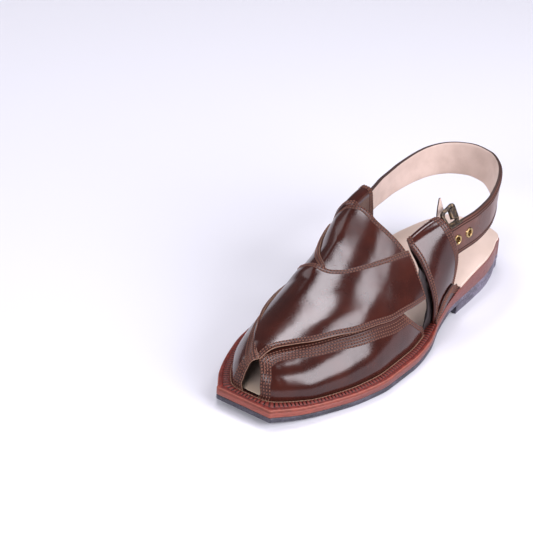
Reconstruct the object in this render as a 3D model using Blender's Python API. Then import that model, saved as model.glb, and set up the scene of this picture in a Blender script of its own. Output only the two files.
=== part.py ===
"""Left peshawari chappal, a Pakistani leather sandal with a back strap.

Every table and size below is in millimetres: +X is the outer (buckle) side of the foot, the toe points
to -Y, the floor is z = 0. The meshes are made in metres.
"""

import math

import bmesh
import bpy
import numpy as np
from mathutils import Vector

MM = 0.001
GAP = 0.3

# Thicknesses of the stack under the foot, from the floor up.
RUBBER_THICK = 4.1
HEEL_LIFT = 6.6
WELT_THICK = 2.2
SEAT_FORE = 10.5
SEAT_HEEL = 26.0
TOE_SPRING = 3.5

# Leather of the upper: outer leather and lining glued together.
WALL = 1.7
LAP = 1.5
SLIT_LIFT = 2.4
SLIT_DIP = 0.9
SLIT_FADE = 2.0
JOIN = 0.1
BAND_THICK = 2.2
BAND_SIDE_CROWN = 1.2
BAND_FOLD_CROWN = 1.5
BAND_FOLD_SHARE = 0.56
BAND_FOLD_SPREAD = 0.12
APRON_THICK = 1.2
APRON_INSET = 0.7
STRAP_THICK = 3.0
STRAP_WIDTH = 24.5
FEATHER_GAP = 0.9

# Lengthwise places.
SPRING_START = -85.0
SPRING_RUN = 60.0
WAIST_START = -15.0
BREAST_Y = 60.0
SEAT_RISE_START = -10.0
SEAT_RISE_RUN = 110.0
WELT_END_Y = 63.0
HEEL_CAP_Y = 134.5
HEEL_CAP_DEPTH = 13.0
HEEL_ROUNDNESS = 0.9

SOLE_COLUMNS = "y medial lateral"
SOLE_OUTLINE = (
    (-143.7, -22.0, 21.9),
    (-125.0, -34.6, 34.5),
    (-102.5, -44.6, 45.0),
    (-77.0, -51.8, 54.6),
    (-52.5, -54.1, 59.2),
    (-25.0, -51.4, 59.4),
    (2.5, -47.3, 55.9),
    (27.0, -43.6, 48.0),
    (52.5, -40.1, 42.7),
    (78.0, -37.0, 41.0),
    (102.5, -33.2, 38.9),
    (120.0, -29.4, 35.0),
    (134.5, -24.2, 29.6),
)

# Cross-sections of the last: half outlines at the seat, the crest of the section, and how square each
# side is (2 is an ellipse).
LAST_COLUMNS = "y lateral medial crest_z crest_x lateral_power medial_power"
LAST_SECTIONS = (
    (-134.6, 3.0, -4.0, 17.0, -1.0, 2.3, 2.3),
    (-133.8, 11.0, -12.0, 22.0, -1.0, 2.3, 2.3),
    (-132.0, 15.0, -16.0, 27.5, -1.0, 2.2, 2.3),
    (-129.0, 18.5, -19.0, 31.5, -2.0, 2.2, 2.3),
    (-125.0, 22.0, -22.5, 34.0, -2.0, 2.1, 2.3),
    (-120.0, 26.0, -26.0, 35.5, -3.0, 2.1, 2.28),
    (-110.0, 33.0, -32.0, 37.5, -4.0, 2.1, 2.2),
    (-95.0, 39.5, -38.2, 42.0, -6.0, 2.1, 1.95),
    (-75.0, 46.5, -43.5, 49.0, -9.0, 2.05, 1.7),
    (-50.0, 50.5, -44.6, 58.5, -12.0, 2.0, 1.65),
    (-20.0, 50.0, -43.0, 71.5, -15.0, 1.95, 1.7),
    (10.0, 46.0, -42.0, 87.0, -18.0, 1.9, 2.5),
    (40.0, 43.0, -38.0, 100.0, -18.0, 1.9, 2.6),
    (65.0, 40.0, -37.0, 110.0, -18.0, 1.9, 2.6),
)

# Edges of the upper's panels on the last: y, and the share of the way over the foot from the lateral
# feather line (0) to the medial one (1).
TOE_PEAK = (-125.4, 0.49)
TOE_OPENING_LATERAL = (
    (-134.35, 0.0), (-134.2, 0.1), (-133.7, 0.302), (-131.7, 0.382), (-128.4, 0.443), TOE_PEAK,
)
TOE_OPENING_MEDIAL = (
    (-134.35, 1.0), (-134.2, 0.86), (-133.6, 0.665), (-132.5, 0.623), (-130.4, 0.577), (-127.5, 0.525),
    TOE_PEAK,
)
VAMP_LOWER_EDGE = (
    TOE_PEAK, (-113.0, 0.45), (-102.0, 0.388), (-91.0, 0.33), (-78.0, 0.287), (-64.5, 0.245),
    (-48.0, 0.208), (-29.0, 0.167), (-19.5, 0.157), (0.0, 0.128), (10.0, 0.115),
)
VAMP_REAR_EDGE = ((10.0, 0.115), (10.0, 0.17), (11.0, 0.22), (12.0, 0.268))
VAMP_TOP_HEM = (
    (-19.0, 0.865), (-24.0, 0.81), (-29.5, 0.75), (-34.5, 0.69), (-37.0, 0.64), (-38.2, 0.587),
    (-39.5, 0.49), (-36.5, 0.44), (-29.5, 0.4), (-20.5, 0.366), (-7.0, 0.32), (4.0, 0.288), (12.0, 0.268),
)
MEDIAL_WING_INNER_EDGE = (
    TOE_PEAK, (-120.0, 0.541), (-110.0, 0.592), (-99.5, 0.642), (-88.5, 0.687), (-78.0, 0.722),
    (-63.0, 0.763), (-45.0, 0.8), (-30.0, 0.828), (-20.0, 0.845),
)
LATERAL_WING_REAR_EDGE = ((5.0, 0.0), (4.0, 0.027), (-4.0, 0.068), (-13.5, 0.12), (-22.0, 0.19))
MEDIAL_WING_REAR_EDGE = ((5.0, 1.0), (3.0, 0.97), (-4.0, 0.93), (-13.0, 0.88), (-20.0, 0.845))
TONGUE_INNER_EDGE = (
    (-42.0, 0.47), (-36.5, 0.495), (-33.0, 0.545), (-26.9, 0.604), (-13.1, 0.689), (-2.5, 0.733),
    (9.0, 0.755),
)
TONGUE_TOP_EDGE = (
    (9.5, 0.79), (11.5, 0.68), (11.5, 0.565), (12.5, 0.49), (11.0, 0.44), (9.5, 0.39), (9.8, 0.348),
    (10.6, 0.305), (11.0, 0.262),
)

# The straps' crossing band loops: rails from the sole up the outer leaf, over the fold and down inside.
# The columns of each rail are x, y and z.
LATERAL_BAND_FRONT = (
    (46.6, 19.6, 13.6), (46.9, 18.9, 22.0), (46.2, 18.7, 30.0), (44.4, 17.9, 38.0), (41.7, 17.1, 46.0),
    (37.5, 16.4, 54.6), (32.5, 15.7, 62.7), (27.9, 14.6, 68.4), (24.6, 13.8, 71.8), (21.8, 15.6, 73.6),
    (19.4, 19.0, 71.4), (20.8, 22.0, 64.0), (26.4, 25.0, 52.0), (33.2, 27.0, 36.0), (39.4, 28.5, 16.2),
)
LATERAL_BAND_REAR = (
    (37.6, 57.0, 20.6), (38.6, 56.0, 27.0), (40.2, 54.8, 36.0), (41.8, 53.2, 46.0), (42.6, 51.6, 55.0),
    (42.0, 49.6, 63.0), (40.4, 47.2, 71.0), (37.6, 45.0, 78.0), (34.0, 43.8, 82.2), (29.6, 43.6, 83.6),
    (25.2, 45.0, 80.4), (22.6, 48.0, 70.0), (25.2, 52.0, 56.0), (29.8, 56.0, 38.0), (34.0, 58.6, 22.6),
)
MEDIAL_BAND_FRONT = (
    (-44.6, 19.6, 13.6), (-45.2, 19.0, 24.0), (-45.2, 18.4, 34.0), (-44.6, 17.8, 45.0),
    (-43.4, 17.0, 55.0), (-41.6, 16.2, 64.0), (-39.0, 15.2, 72.5), (-35.6, 14.4, 79.0),
    (-31.6, 14.6, 83.6), (-28.4, 17.0, 84.0), (-27.4, 21.0, 80.0), (-29.6, 24.0, 68.0),
    (-33.0, 26.0, 54.0), (-36.2, 27.4, 36.0), (-38.6, 28.6, 16.2),
)
MEDIAL_BAND_REAR = (
    (-38.6, 64.0, 21.4), (-40.6, 63.4, 30.0), (-42.4, 62.2, 39.0), (-43.8, 60.2, 48.0),
    (-44.4, 57.6, 57.0), (-44.0, 54.4, 66.0), (-42.2, 51.2, 74.0), (-39.6, 48.6, 80.0),
    (-36.4, 47.2, 83.8), (-33.0, 46.8, 83.8), (-30.6, 47.4, 79.6), (-30.4, 49.4, 68.0),
    (-31.4, 52.6, 54.0), (-33.4, 56.4, 38.0), (-34.6, 60.0, 23.0),
)

# The stitched apron over the foot of the lateral loop: how far back it is, and how high it stands there,
# both as shares of the loop.
APRON_HEIGHTS = (
    (0.02, 0.03), (0.12, 0.055), (0.26, 0.088), (0.4, 0.11), (0.6, 0.114), (0.78, 0.1), (0.92, 0.066),
    (1.04, 0.036), (1.14, 0.02),
)

# The back strap's middle line, and how far its top edge leans out past its lower edge. The columns are
# x, y, z and lean.
STRAP_ROUTE = (
    (31.6, 35.0, 58.0, -3.5),
    (35.3, 50.0, 61.8, -3.5),
    (38.3, 64.0, 64.4, -3.0),
    (39.4, 80.0, 65.0, -2.5),
    (38.4, 97.0, 66.6, -1.5),
    (34.8, 112.0, 69.6, 0.0),
    (28.2, 126.0, 72.8, 2.5),
    (18.4, 137.8, 75.2, 4.5),
    (7.6, 144.4, 76.2, 5.0),
    (-4.0, 146.4, 76.2, 5.0),
    (-16.4, 143.8, 75.2, 4.5),
    (-27.4, 136.4, 73.8, 3.0),
    (-35.2, 123.6, 72.0, 1.0),
    (-39.4, 108.0, 69.8, -1.0),
    (-41.4, 92.0, 67.6, -2.5),
    (-41.2, 76.0, 66.2, -3.0),
    (-39.4, 62.0, 65.2, -3.5),
    (-36.6, 48.0, 64.4, -3.5),
    (-34.6, 38.0, 63.6, -3.5),
)
EYELET_PLACES = (0.088, 0.136)
EYELET_HOLE_RADIUS = 2.1
EYELET_RIM_RADIUS = 3.9
EYELET_RIM_THICK = 0.9
EYELET_BARREL = 0.6

# Buckle frame: lower and rear ends of the near arm, then the two upper corners back to the hinge.
BUCKLE_CORNERS = ((35.0, 46.9, 77.3), (36.0, 58.4, 78.1), (30.2, 58.4, 89.2), (29.2, 46.2, 84.8))
BUCKLE_CORNER_RADIUS = 2.4
BUCKLE_WIRE = 2.5
BUCKLE_OUTER_BAR_WIDTH = 7.0
BUCKLE_OUTER_BAR_THICK = 3.0
BUCKLE_BAR_START = 1.6
BUCKLE_BAR_RUN = 1.4
BUCKLE_SQUARENESS = 1.18
PRONG_LINE = ((37.5, 46.6, 76.9), (38.5, 57.0, 77.6), (38.9, 61.6, 78.3))
PRONG_RADIUS = 0.95
PRONG_TAPER = (0.7, 1.0, 1.0, 1.0, 0.95, 0.85, 0.45)

# The pointed end of the buckled strap, standing up out of the loop. The columns are x, y, z and width.
TIP_ROWS = (
    (28.6, 52.6, 56.0, 9.0), (26.8, 53.0, 67.0, 9.0), (25.2, 52.8, 78.0, 8.5), (24.3, 51.7, 87.0, 5.0),
    (23.9, 50.9, 94.5, 1.2),
)
TIP_THICK = 1.8
TIP_WAY = (0.18, 0.98, 0.0)
TIP_FACE = (0.95, -0.18, 0.25)

LEATHER = (0.075, 0.022, 0.014)
RUBBER = (0.012, 0.012, 0.016)
STRAP_LEATHER = (0.085, 0.024, 0.015)


def monotone(xs, ys):
    """A smooth curve through the points that never overshoots them."""
    xs, ys = np.asarray(xs, float), np.asarray(ys, float)
    step, slope = np.diff(xs), np.diff(ys) / np.diff(xs)
    tangent = np.empty_like(ys)
    tangent[0], tangent[-1] = slope[0], slope[-1]
    for i in range(1, len(xs) - 1):
        a, b = slope[i - 1], slope[i]
        w1, w2 = 2 * step[i] + step[i - 1], step[i] + 2 * step[i - 1]
        tangent[i] = 0.0 if a * b <= 0 else (w1 + w2) / (w1 / a + w2 / b)

    def value(x):
        x = np.clip(x, xs[0], xs[-1])
        i = np.clip(np.searchsorted(xs, x) - 1, 0, len(xs) - 2)
        h = step[i]
        t = (x - xs[i]) / h
        return (
            (1 + 2 * t) * (1 - t) ** 2 * ys[i]
            + t * (1 - t) ** 2 * h * tangent[i]
            + t * t * (3 - 2 * t) * ys[i + 1]
            + t * t * (t - 1) * h * tangent[i + 1]
        )

    return value


def columns(names, rows):
    """Each named column of a table as a smooth function of the first column."""
    table = np.array(rows)
    return {name: monotone(table[:, 0], table[:, i]) for i, name in enumerate(names.split()) if i}


SOLE = columns(SOLE_COLUMNS, SOLE_OUTLINE)
LAST = columns(LAST_COLUMNS, LAST_SECTIONS)


def smoothstep(value):
    t = np.clip(value, 0.0, 1.0)
    return t * t * (3 - 2 * t)


def curve_through(points):
    """A smooth curve through points of any number of dimensions, read by the share of its length."""
    points = np.asarray(points, float)
    chord = np.concatenate([[0], np.cumsum(np.linalg.norm(np.diff(points, axis=0), axis=1))])
    parts = [monotone(chord / chord[-1], points[:, i]) for i in range(points.shape[1])]
    return lambda where: np.stack([part(where) for part in parts], -1)


def along(points, count):
    """Evenly spaced points on a smooth curve through the given ones."""
    return curve_through(points)(np.linspace(0, 1, count))


def spring(y):
    return TOE_SPRING * np.clip((SPRING_START - y) / SPRING_RUN, 0, 1) ** 2


def seat_height(y):
    """Top of the welt and of the insole."""
    rise = smoothstep((y - SEAT_RISE_START) / SEAT_RISE_RUN)
    return SEAT_FORE + (SEAT_HEEL - SEAT_FORE) * rise + spring(y)


def tread_height(y):
    """Underside of the rubber outsole, which leaves the floor at the waist."""
    lift = (HEEL_LIFT + GAP) * smoothstep((y - WAIST_START) / (BREAST_Y - WAIST_START))
    return lift + spring(y)


def rubber_top(y):
    return tread_height(y) + RUBBER_THICK


def last_point(y, share):
    """A point on the last, at a share of the way over it from the lateral to the medial feather line."""
    y, share = np.broadcast_arrays(np.asarray(y, float), np.asarray(share, float))
    cos, sin = np.cos(math.pi * share), np.sin(math.pi * share)
    outer = cos >= 0
    power = np.where(outer, LAST["lateral_power"](y), LAST["medial_power"](y))
    crest_x, base = LAST["crest_x"](y), seat_height(y) + GAP
    reach = np.where(outer, LAST["lateral"](y) - crest_x, crest_x - LAST["medial"](y))
    x = crest_x + np.sign(cos) * reach * np.abs(cos) ** (2 / power)
    z = base + (LAST["crest_z"](y) - base) * np.abs(sin) ** (2 / power)
    return np.stack([x, y, z], -1)


def last_normal(y, share):
    """Outward direction of the last, level where the leather turns down to the seat."""
    near = np.clip(share, 0.02, 0.98)
    dy, ds = 0.4, 0.004
    ahead = np.clip(y, -134.2, 64.0)
    along_foot = last_point(ahead + dy, near) - last_point(ahead - dy, near)
    over_foot = last_point(ahead, near + ds) - last_point(ahead, near - ds)
    normal = np.cross(along_foot, over_foot)
    normal *= np.sign((normal * (last_point(ahead, near) - centre_of_last(ahead))).sum(-1))[..., None]
    return normal / np.linalg.norm(normal, axis=-1)[..., None]


def centre_of_last(y):
    return np.stack([LAST["crest_x"](y), y, seat_height(y)], -1)


def coons(bottom, top, left, right, across, up):
    """A patch between four edge curves; bottom and top run the same way, left and right run up."""
    b, t = along(bottom, across), along(top, across)
    l, r = along(left, up), along(right, up)
    w = np.linspace(0, 1, across)[:, None, None]
    k = np.linspace(0, 1, up)[None, :, None]
    flat = (1 - k) * b[:, None] + k * t[:, None] + (1 - w) * l[None] + w * r[None]
    corners = (1 - w) * (1 - k) * b[0] + w * (1 - k) * b[-1] + (1 - w) * k * t[0] + w * k * t[-1]
    return flat - corners, w[..., 0] + 0 * k[..., 0], k[..., 0] + 0 * w[..., 0]


def grid_faces(across, up, first=0, flip=False):
    faces = []
    for i in range(across - 1):
        for j in range(up - 1):
            a = first + i * up + j
            quad = (a, a + 1, a + up + 1, a + up)
            faces.append(quad[::-1] if flip else quad)
    return faces


def rim(across, up):
    """The border of a grid, once round."""
    ring = [i * up for i in range(across)]
    ring += [(across - 1) * up + j for j in range(1, up)]
    ring += [i * up + up - 1 for i in range(across - 2, -1, -1)]
    ring += list(range(up - 2, 0, -1))
    return ring


def finish_mesh(name, points, faces, colour, roughness, metallic=0.0):
    """A closed mesh from points in millimetres, with its own material."""
    mesh = bpy.data.meshes.new(name)
    mesh.from_pydata([tuple(p * MM) for p in np.asarray(points, float)], [], faces)
    shape = bmesh.new()
    shape.from_mesh(mesh)
    bmesh.ops.recalc_face_normals(shape, faces=shape.faces)
    if shape.calc_volume(signed=True) < 0:
        bmesh.ops.reverse_faces(shape, faces=shape.faces)
    shape.to_mesh(mesh)
    shape.free()
    mesh.shade_smooth()
    mesh.set_sharp_from_angle(angle=math.radians(35))
    body = bpy.data.objects.new(name, mesh)
    bpy.context.scene.collection.objects.link(body)
    body.data.materials.append(material(name, colour, roughness, metallic))
    return body


def material(name, colour, roughness, metallic):
    made = bpy.data.materials.new(name + "_finish")
    made.use_nodes = True
    shader = made.node_tree.nodes["Principled BSDF"]
    shader.inputs["Base Color"].default_value = (*colour, 1.0)
    shader.inputs["Roughness"].default_value = roughness
    shader.inputs["Metallic"].default_value = metallic
    made.diffuse_color = (*colour, 1.0)
    return made


def sheet(name, middle, normal, low, high, colour, roughness):
    """A closed sheet of leather: a grid of points with a face above it and one below."""
    across, up = middle.shape[:2]
    upper = (middle + normal * np.broadcast_to(high, (across, up))[..., None]).reshape(-1, 3)
    lower = (middle + normal * np.broadcast_to(low, (across, up))[..., None]).reshape(-1, 3)
    count = across * up
    faces = grid_faces(across, up) + grid_faces(across, up, count, flip=True)
    ring = rim(across, up)
    for a, b in zip(ring, ring[1:] + ring[:1]):
        faces.append((a, b, b + count, a + count))
    return finish_mesh(name, np.vstack([upper, lower]), faces, colour, roughness)


def sole_stations(first, last, step):
    """Lengthwise stations of the sole: even ones, then closer ones round the heel."""
    straight = np.linspace(first, HEEL_CAP_Y, int((HEEL_CAP_Y - first) / step))
    turns = np.radians(np.arange(12, 96, 12))
    return np.concatenate([straight, HEEL_CAP_Y + (last - HEEL_CAP_Y) * np.sin(turns) ** HEEL_ROUNDNESS])


def sole_edges(y, inset=0.0):
    """The sole's two side edges at y, drawn in by an inset."""
    reach = np.clip((y - HEEL_CAP_Y) / (HEEL_CAP_DEPTH - inset), 0, 0.9985)
    middle = (SOLE["medial"](y) + SOLE["lateral"](y)) / 2
    half = (SOLE["lateral"](y) - SOLE["medial"](y)) / 2 - inset
    half = half * np.cos(np.arcsin(reach ** (1 / HEEL_ROUNDNESS))) ** 0.8
    return middle - half, middle + half


def layer(name, stations, edges, low, high, colour, roughness):
    """A sole layer: flat across the foot, with its own outline and heights along it."""
    points, faces = [], []
    for y in stations:
        medial, lateral = edges(y)
        points += [(medial, y, low(y)), (lateral, y, low(y)), (lateral, y, high(y)), (medial, y, high(y))]
    for i in range(len(stations) - 1):
        a = 4 * i
        for j in range(4):
            faces.append((a + j, a + (j + 1) % 4, a + 4 + (j + 1) % 4, a + 4 + j))
    faces += [(0, 1, 2, 3), tuple(4 * (len(stations) - 1) + j for j in range(4))]
    return finish_mesh(name, points, faces, colour, roughness)


def feather(inset, count=90):
    """The line where the upper meets the seat, drawn in by an inset, from the lateral rear round the toe."""
    ys = LAST_SECTIONS[0][0] + 0.05 + (WELT_END_Y - LAST_SECTIONS[0][0]) * np.linspace(0, 1, count) ** 2.6
    lateral = np.stack([LAST["lateral"](ys), ys], -1)
    medial = np.stack([LAST["medial"](ys), ys], -1)
    line = np.vstack([lateral[::-1], medial])
    way = np.gradient(line, axis=0)
    way /= np.linalg.norm(way, axis=1)[:, None]
    inward = np.stack([way[:, 1], -way[:, 0]], -1)
    return line + inward * inset


def make_outsole():
    end = HEEL_CAP_Y + HEEL_CAP_DEPTH
    return layer("outsole", sole_stations(SOLE_OUTLINE[0][0], end, 6.0), sole_edges, tread_height, rubber_top,
                 RUBBER, 0.45)


def make_heel_block():
    end = HEEL_CAP_Y + HEEL_CAP_DEPTH - 0.4

    def edges(y):
        return sole_edges(y, 0.4)

    return layer("heel_block", sole_stations(BREAST_Y, end, 9.0), edges, lambda y: 0.0,
                 lambda y: tread_height(y) - GAP, RUBBER, 0.45)


def make_midsole():
    end = HEEL_CAP_Y + HEEL_CAP_DEPTH
    return layer("midsole", sole_stations(SOLE_OUTLINE[0][0], end, 5.0), sole_edges,
                 lambda y: rubber_top(y) + GAP, lambda y: seat_height(y) - WELT_THICK - GAP,
                 (0.23, 0.055, 0.035), 0.5)


def make_welt():
    """A strip from the lateral waist round the toe to the medial waist, on the midsole's edge."""
    sides, front = 34, 8
    ys = np.linspace(WELT_END_Y, SOLE_OUTLINE[0][0], sides)
    outer = [(SOLE["lateral"](y), y) for y in ys]
    corner_l, corner_m = SOLE_OUTLINE[0][2], SOLE_OUTLINE[0][1]
    outer += [(x, SOLE_OUTLINE[0][0]) for x in np.linspace(corner_l, corner_m, front + 2)[1:-1]]
    outer += [(SOLE["medial"](y), y) for y in ys[::-1]]
    inner_line = feather(WALL + FEATHER_GAP)
    ahead = inner_line[:, 1] < -100
    toe = inner_line[ahead & (np.abs(inner_line[:, 0]) < 11.0)]
    lateral = inner_line[(inner_line[:, 0] >= 11.0)]
    medial = inner_line[(inner_line[:, 0] <= -11.0)]
    inner = np.vstack([along(lateral, sides), along(toe, front), along(medial, sides)])
    points, faces = [], []
    for (xo, yo), (xi, yi) in zip(outer, inner):
        for x, y, drop in ((xo, yo, WELT_THICK), (xi, yi, WELT_THICK), (xi, yi, 0.0), (xo, yo, 0.0)):
            points.append((x, y, seat_height(y) - drop))
    rings = len(outer)
    for i in range(rings - 1):
        for j in range(4):
            faces.append((4 * i + j, 4 * i + (j + 1) % 4, 4 * i + 4 + (j + 1) % 4, 4 * i + 4 + j))
    faces += [(0, 1, 2, 3), tuple(4 * (rings - 1) + j for j in range(4))]
    return finish_mesh("welt", points, faces, (0.12, 0.02, 0.012), 0.5)


def make_insole():
    """Footbed: inside the welt in front, out to the sole's edge at the heel."""
    line = feather(WALL + FEATHER_GAP + 2 * GAP)
    lateral = line[: len(line) // 2][::-1]
    medial = line[len(line) // 2:]
    start = max(lateral[0, 1], medial[0, 1]) + GAP
    widening = WELT_END_Y + 1.5 * GAP
    front = start + (widening - start) * np.linspace(0, 1, 38) ** 1.4
    end = HEEL_CAP_Y + HEEL_CAP_DEPTH - 0.8
    rear = sole_stations(widening + JOIN, end, 7.0)
    stations = np.concatenate([front, rear])

    def edges(y):
        if y < widening + JOIN / 2:
            return np.interp(y, medial[:, 1], medial[:, 0]), np.interp(y, lateral[:, 1], lateral[:, 0])
        return sole_edges(y, 0.8)

    return layer("insole", stations, edges, lambda y: seat_height(y) - WELT_THICK, seat_height,
                 (0.82, 0.66, 0.53), 0.7)


def shifted(edge, share):
    """A panel edge moved over the foot, for the part that lies under its neighbour."""
    return tuple((y, s + share) for y, s in edge)


def panel(name, bottom, top, left, right, across, up, offset):
    """One leather panel of the upper, on the last, raised by the panels that it laps over."""
    places, w, k = coons(bottom, top, left, right, across, up)
    share = np.clip(places[..., 1], 0.0, 1.0)
    middle, normal = last_point(places[..., 0], share), last_normal(places[..., 0], share)
    low = offset(places[..., 0], share, w, k)
    return sheet(name, middle, normal, low, low + WALL, LEATHER, 0.28)


def slit_reach(y):
    """How far the slit under the vamp's lower edge is open: closed at the toe and at the side opening."""
    return smoothstep((y + 124) / 12) * smoothstep((-26 - y) / 60)


def lateral_wing():
    top = (TOE_PEAK,) + shifted(VAMP_LOWER_EDGE[1:8], 0.035) + ((-22.0, 0.19),)
    bottom = ((-134.35, 0.0), (-125.0, 0.0), (-100.0, 0.0), (-60.0, 0.0), (-20.0, 0.0), (5.0, 0.0))

    def offset(y, s, w, k):
        return -SLIT_DIP * smoothstep((k - 0.55) / 0.35) * slit_reach(y)

    return panel("lateral_wing", bottom, top, TOE_OPENING_LATERAL, LATERAL_WING_REAR_EDGE, 26, 9, offset)


def vamp():
    tip = (TOE_PEAK[0] + 0.6, TOE_PEAK[1] + 0.002)

    def offset(y, s, w, k):
        slit = slit_reach(y) * smoothstep(1 - SLIT_FADE * k)
        hem = smoothstep((y + 52) / 10) * smoothstep((s - 0.46) / 0.08) * smoothstep((0.8 - s) / 0.12)
        return LAP + SLIT_LIFT * slit + (LAP - JOIN) * hem

    lower = (tip,) + VAMP_LOWER_EDGE[1:]
    inner = (tip,) + shifted(MEDIAL_WING_INNER_EDGE[1:-1], 0.03) + VAMP_TOP_HEM[:1]
    return panel("vamp", lower, VAMP_TOP_HEM, inner, VAMP_REAR_EDGE, 20, 13, offset)


def medial_wing():
    bottom = ((-134.35, 1.0), (-125.0, 1.0), (-100.0, 1.0), (-60.0, 1.0), (-20.0, 1.0), (5.0, 1.0))

    def offset(y, s, w, k):
        return (2 * LAP - JOIN) * smoothstep((k - 0.35) / 0.5)

    return panel("medial_wing", bottom, MEDIAL_WING_INNER_EDGE, TOE_OPENING_MEDIAL, MEDIAL_WING_REAR_EDGE,
                 26, 8, offset)


def tongue():
    bottom = ((-48.0, 0.54), (-48.0, 0.48), (-43.0, 0.42), (-33.0, 0.37), (-20.0, 0.33), (-8.0, 0.29),
              (2.0, 0.262))
    left = ((-48.0, 0.54), (-36.0, 0.59), (-24.0, 0.66), (-12.0, 0.725), (0.0, 0.765), (9.5, 0.79))
    right = ((2.0, 0.262), (6.0, 0.258), (11.0, 0.262))
    return panel("tongue", bottom, TONGUE_TOP_EDGE, left, right, 12, 9, lambda y, s, w, k: 0 * y)


def quarter():
    """The smooth medial quarter, whose hem laps over the tongue."""
    lower = ((-28.0, 0.87), (-16.0, 0.86), (-6.0, 0.865), (6.0, 0.88), (17.0, 0.905))
    left = ((-28.0, 0.87), (-36.0, 0.76), (-41.0, 0.66), (-44.0, 0.56), (-42.0, 0.47))
    right = ((17.0, 0.905), (15.0, 0.85), (12.0, 0.8), (9.0, 0.755))

    def offset(y, s, w, k):
        return LAP * smoothstep((k - 0.35) / 0.3)

    return panel("quarter", lower, TONGUE_INNER_EDGE, left, right, 11, 9, offset)


def root(side):
    """The dark inner strap that carries the crossing straps down to the seat, beside the side opening."""
    curve = ((6.0, 0.0), (10.5, 0.03), (14.5, 0.05), (15.5, 0.078), (11.0, 0.12), (5.0, 0.15))
    rear = ((23.0, 0.0), (22.5, 0.06), (20.5, 0.12), (15.0, 0.2))
    foot = ((6.0, 0.0), (14.0, 0.0), (23.0, 0.0))
    head = ((5.0, 0.15), (9.0, 0.17), (15.0, 0.2))
    if side == "medial":
        curve, rear, foot, head = (tuple((y, 1 - s) for y, s in edge) for edge in (curve, rear, foot, head))

    def offset(y, s, w, k):
        tuck = LAP if side == "medial" else (WALL + GAP) * smoothstep((0.8 - k) / 0.4)
        return JOIN - tuck + 0 * y

    return panel(side + "_root", foot, head, curve, rear, 5, 8, offset)


def make_upper():
    """All the panels joined into one wall, open at the toe, the slit, both sides and the collar."""
    pieces = [lateral_wing(), vamp(), medial_wing(), tongue(), quarter(), root("lateral"), root("medial")]
    upper = pieces[0]
    upper.name = "upper"
    for piece in pieces[1:]:
        joint = upper.modifiers.new("sewn_to_" + piece.name, "BOOLEAN")
        joint.operation = "UNION"
        joint.solver = "EXACT"
        joint.object = piece
        piece.hide_render = True
        piece.display_type = "WIRE"
    return upper


def band_middle(front_rail, rear_rail, outward, across, up):
    """Middle of a folded loop's leather, at shares from its front edge to its rear one and over its fold."""
    front, rear = curve_through(front_rail)(up), curve_through(rear_rail)(up)
    place = (1 - across)[..., None] * front + across[..., None] * rear
    crown = (4 * across * (1 - across)).clip(0)
    place[..., 0] += outward * BAND_SIDE_CROWN * crown * np.sin(2 * math.pi * up).clip(0)
    place[..., 2] += BAND_FOLD_CROWN * crown * np.exp(-((up - BAND_FOLD_SHARE) / BAND_FOLD_SPREAD) ** 2)
    return place


def sheet_normal(grid, level_rows):
    """Normals of a grid of points, laid level in the rows that stand on the sole."""
    normal = np.cross(np.gradient(grid, axis=0), np.gradient(grid, axis=1))
    for row in level_rows:
        normal[:, row, 2] = 0
    return normal / np.linalg.norm(normal, axis=-1)[..., None]


def make_band(name, front_rail, rear_rail, outward):
    """A leather loop folded over the crossing straps; both its leaves stand on the seat."""
    across, up = np.meshgrid(np.linspace(0, 1, 8), np.linspace(0, 1, 25), indexing="ij")
    grid = band_middle(front_rail, rear_rail, outward, across, up)
    for row in (0, -1):
        grid[:, row, 2] = seat_height(grid[:, row, 1]) + GAP
    half = BAND_THICK / 2
    return sheet(name, grid, sheet_normal(grid, (0, -1)), -half, half, LEATHER, 0.28)


def make_apron():
    """A scalloped flap of leather, stitched to the welt and sloping up against the lateral loop."""
    height = columns("across up", APRON_HEIGHTS)["up"]
    across = np.linspace(APRON_HEIGHTS[0][0], APRON_HEIGHTS[-1][0], 20)
    share, rise = np.meshgrid(across, np.linspace(0, 1, 5), indexing="ij")
    grid = band_middle(LATERAL_BAND_FRONT, LATERAL_BAND_REAR, 1.0, share, rise * height(share))
    grid[..., 0] += BAND_THICK / 2 + GAP + APRON_THICK / 2 + JOIN
    foot = SOLE["lateral"](grid[:, 0, 1]) - APRON_INSET
    slope = (1 - rise) ** 2
    grid[..., 0] += slope * (foot - grid[:, 0, 0])[:, None]
    grid[:, 0, 2] = seat_height(grid[:, 0, 1]) + GAP
    half = APRON_THICK / 2
    return sheet("lateral_apron", grid, sheet_normal(grid, (0,)), -half, half, (0.07, 0.02, 0.013), 0.6)


def strap_line(count):
    """The strap's middle line, with its rise from lower to top edge and its outward face at each point."""
    route = along(STRAP_ROUTE, count)
    middle = route[:, :3]
    way = np.gradient(middle, axis=0)
    way /= np.linalg.norm(way, axis=1)[:, None]
    level = np.stack([way[:, 1], -way[:, 0], 0 * way[:, 0]], -1)
    level /= np.linalg.norm(level, axis=1)[:, None]
    rise = np.array([0, 0, STRAP_WIDTH]) + level * route[:, 3:]
    rise *= STRAP_WIDTH / np.linalg.norm(rise, axis=1)[:, None]
    face = np.cross(way, rise)
    face /= np.linalg.norm(face, axis=1)[:, None]
    face *= np.sign((face * level).sum(1))[:, None]
    return middle, rise, face


def strap_axes(place):
    """Middle, sideways, upward and outward directions of the strap at a share of its length."""
    count = 401
    middle, rise, face = [part[int(round(place * (count - 1)))] for part in strap_line(count)]
    up = rise / np.linalg.norm(rise)
    return middle, np.cross(up, face), up, face


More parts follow.
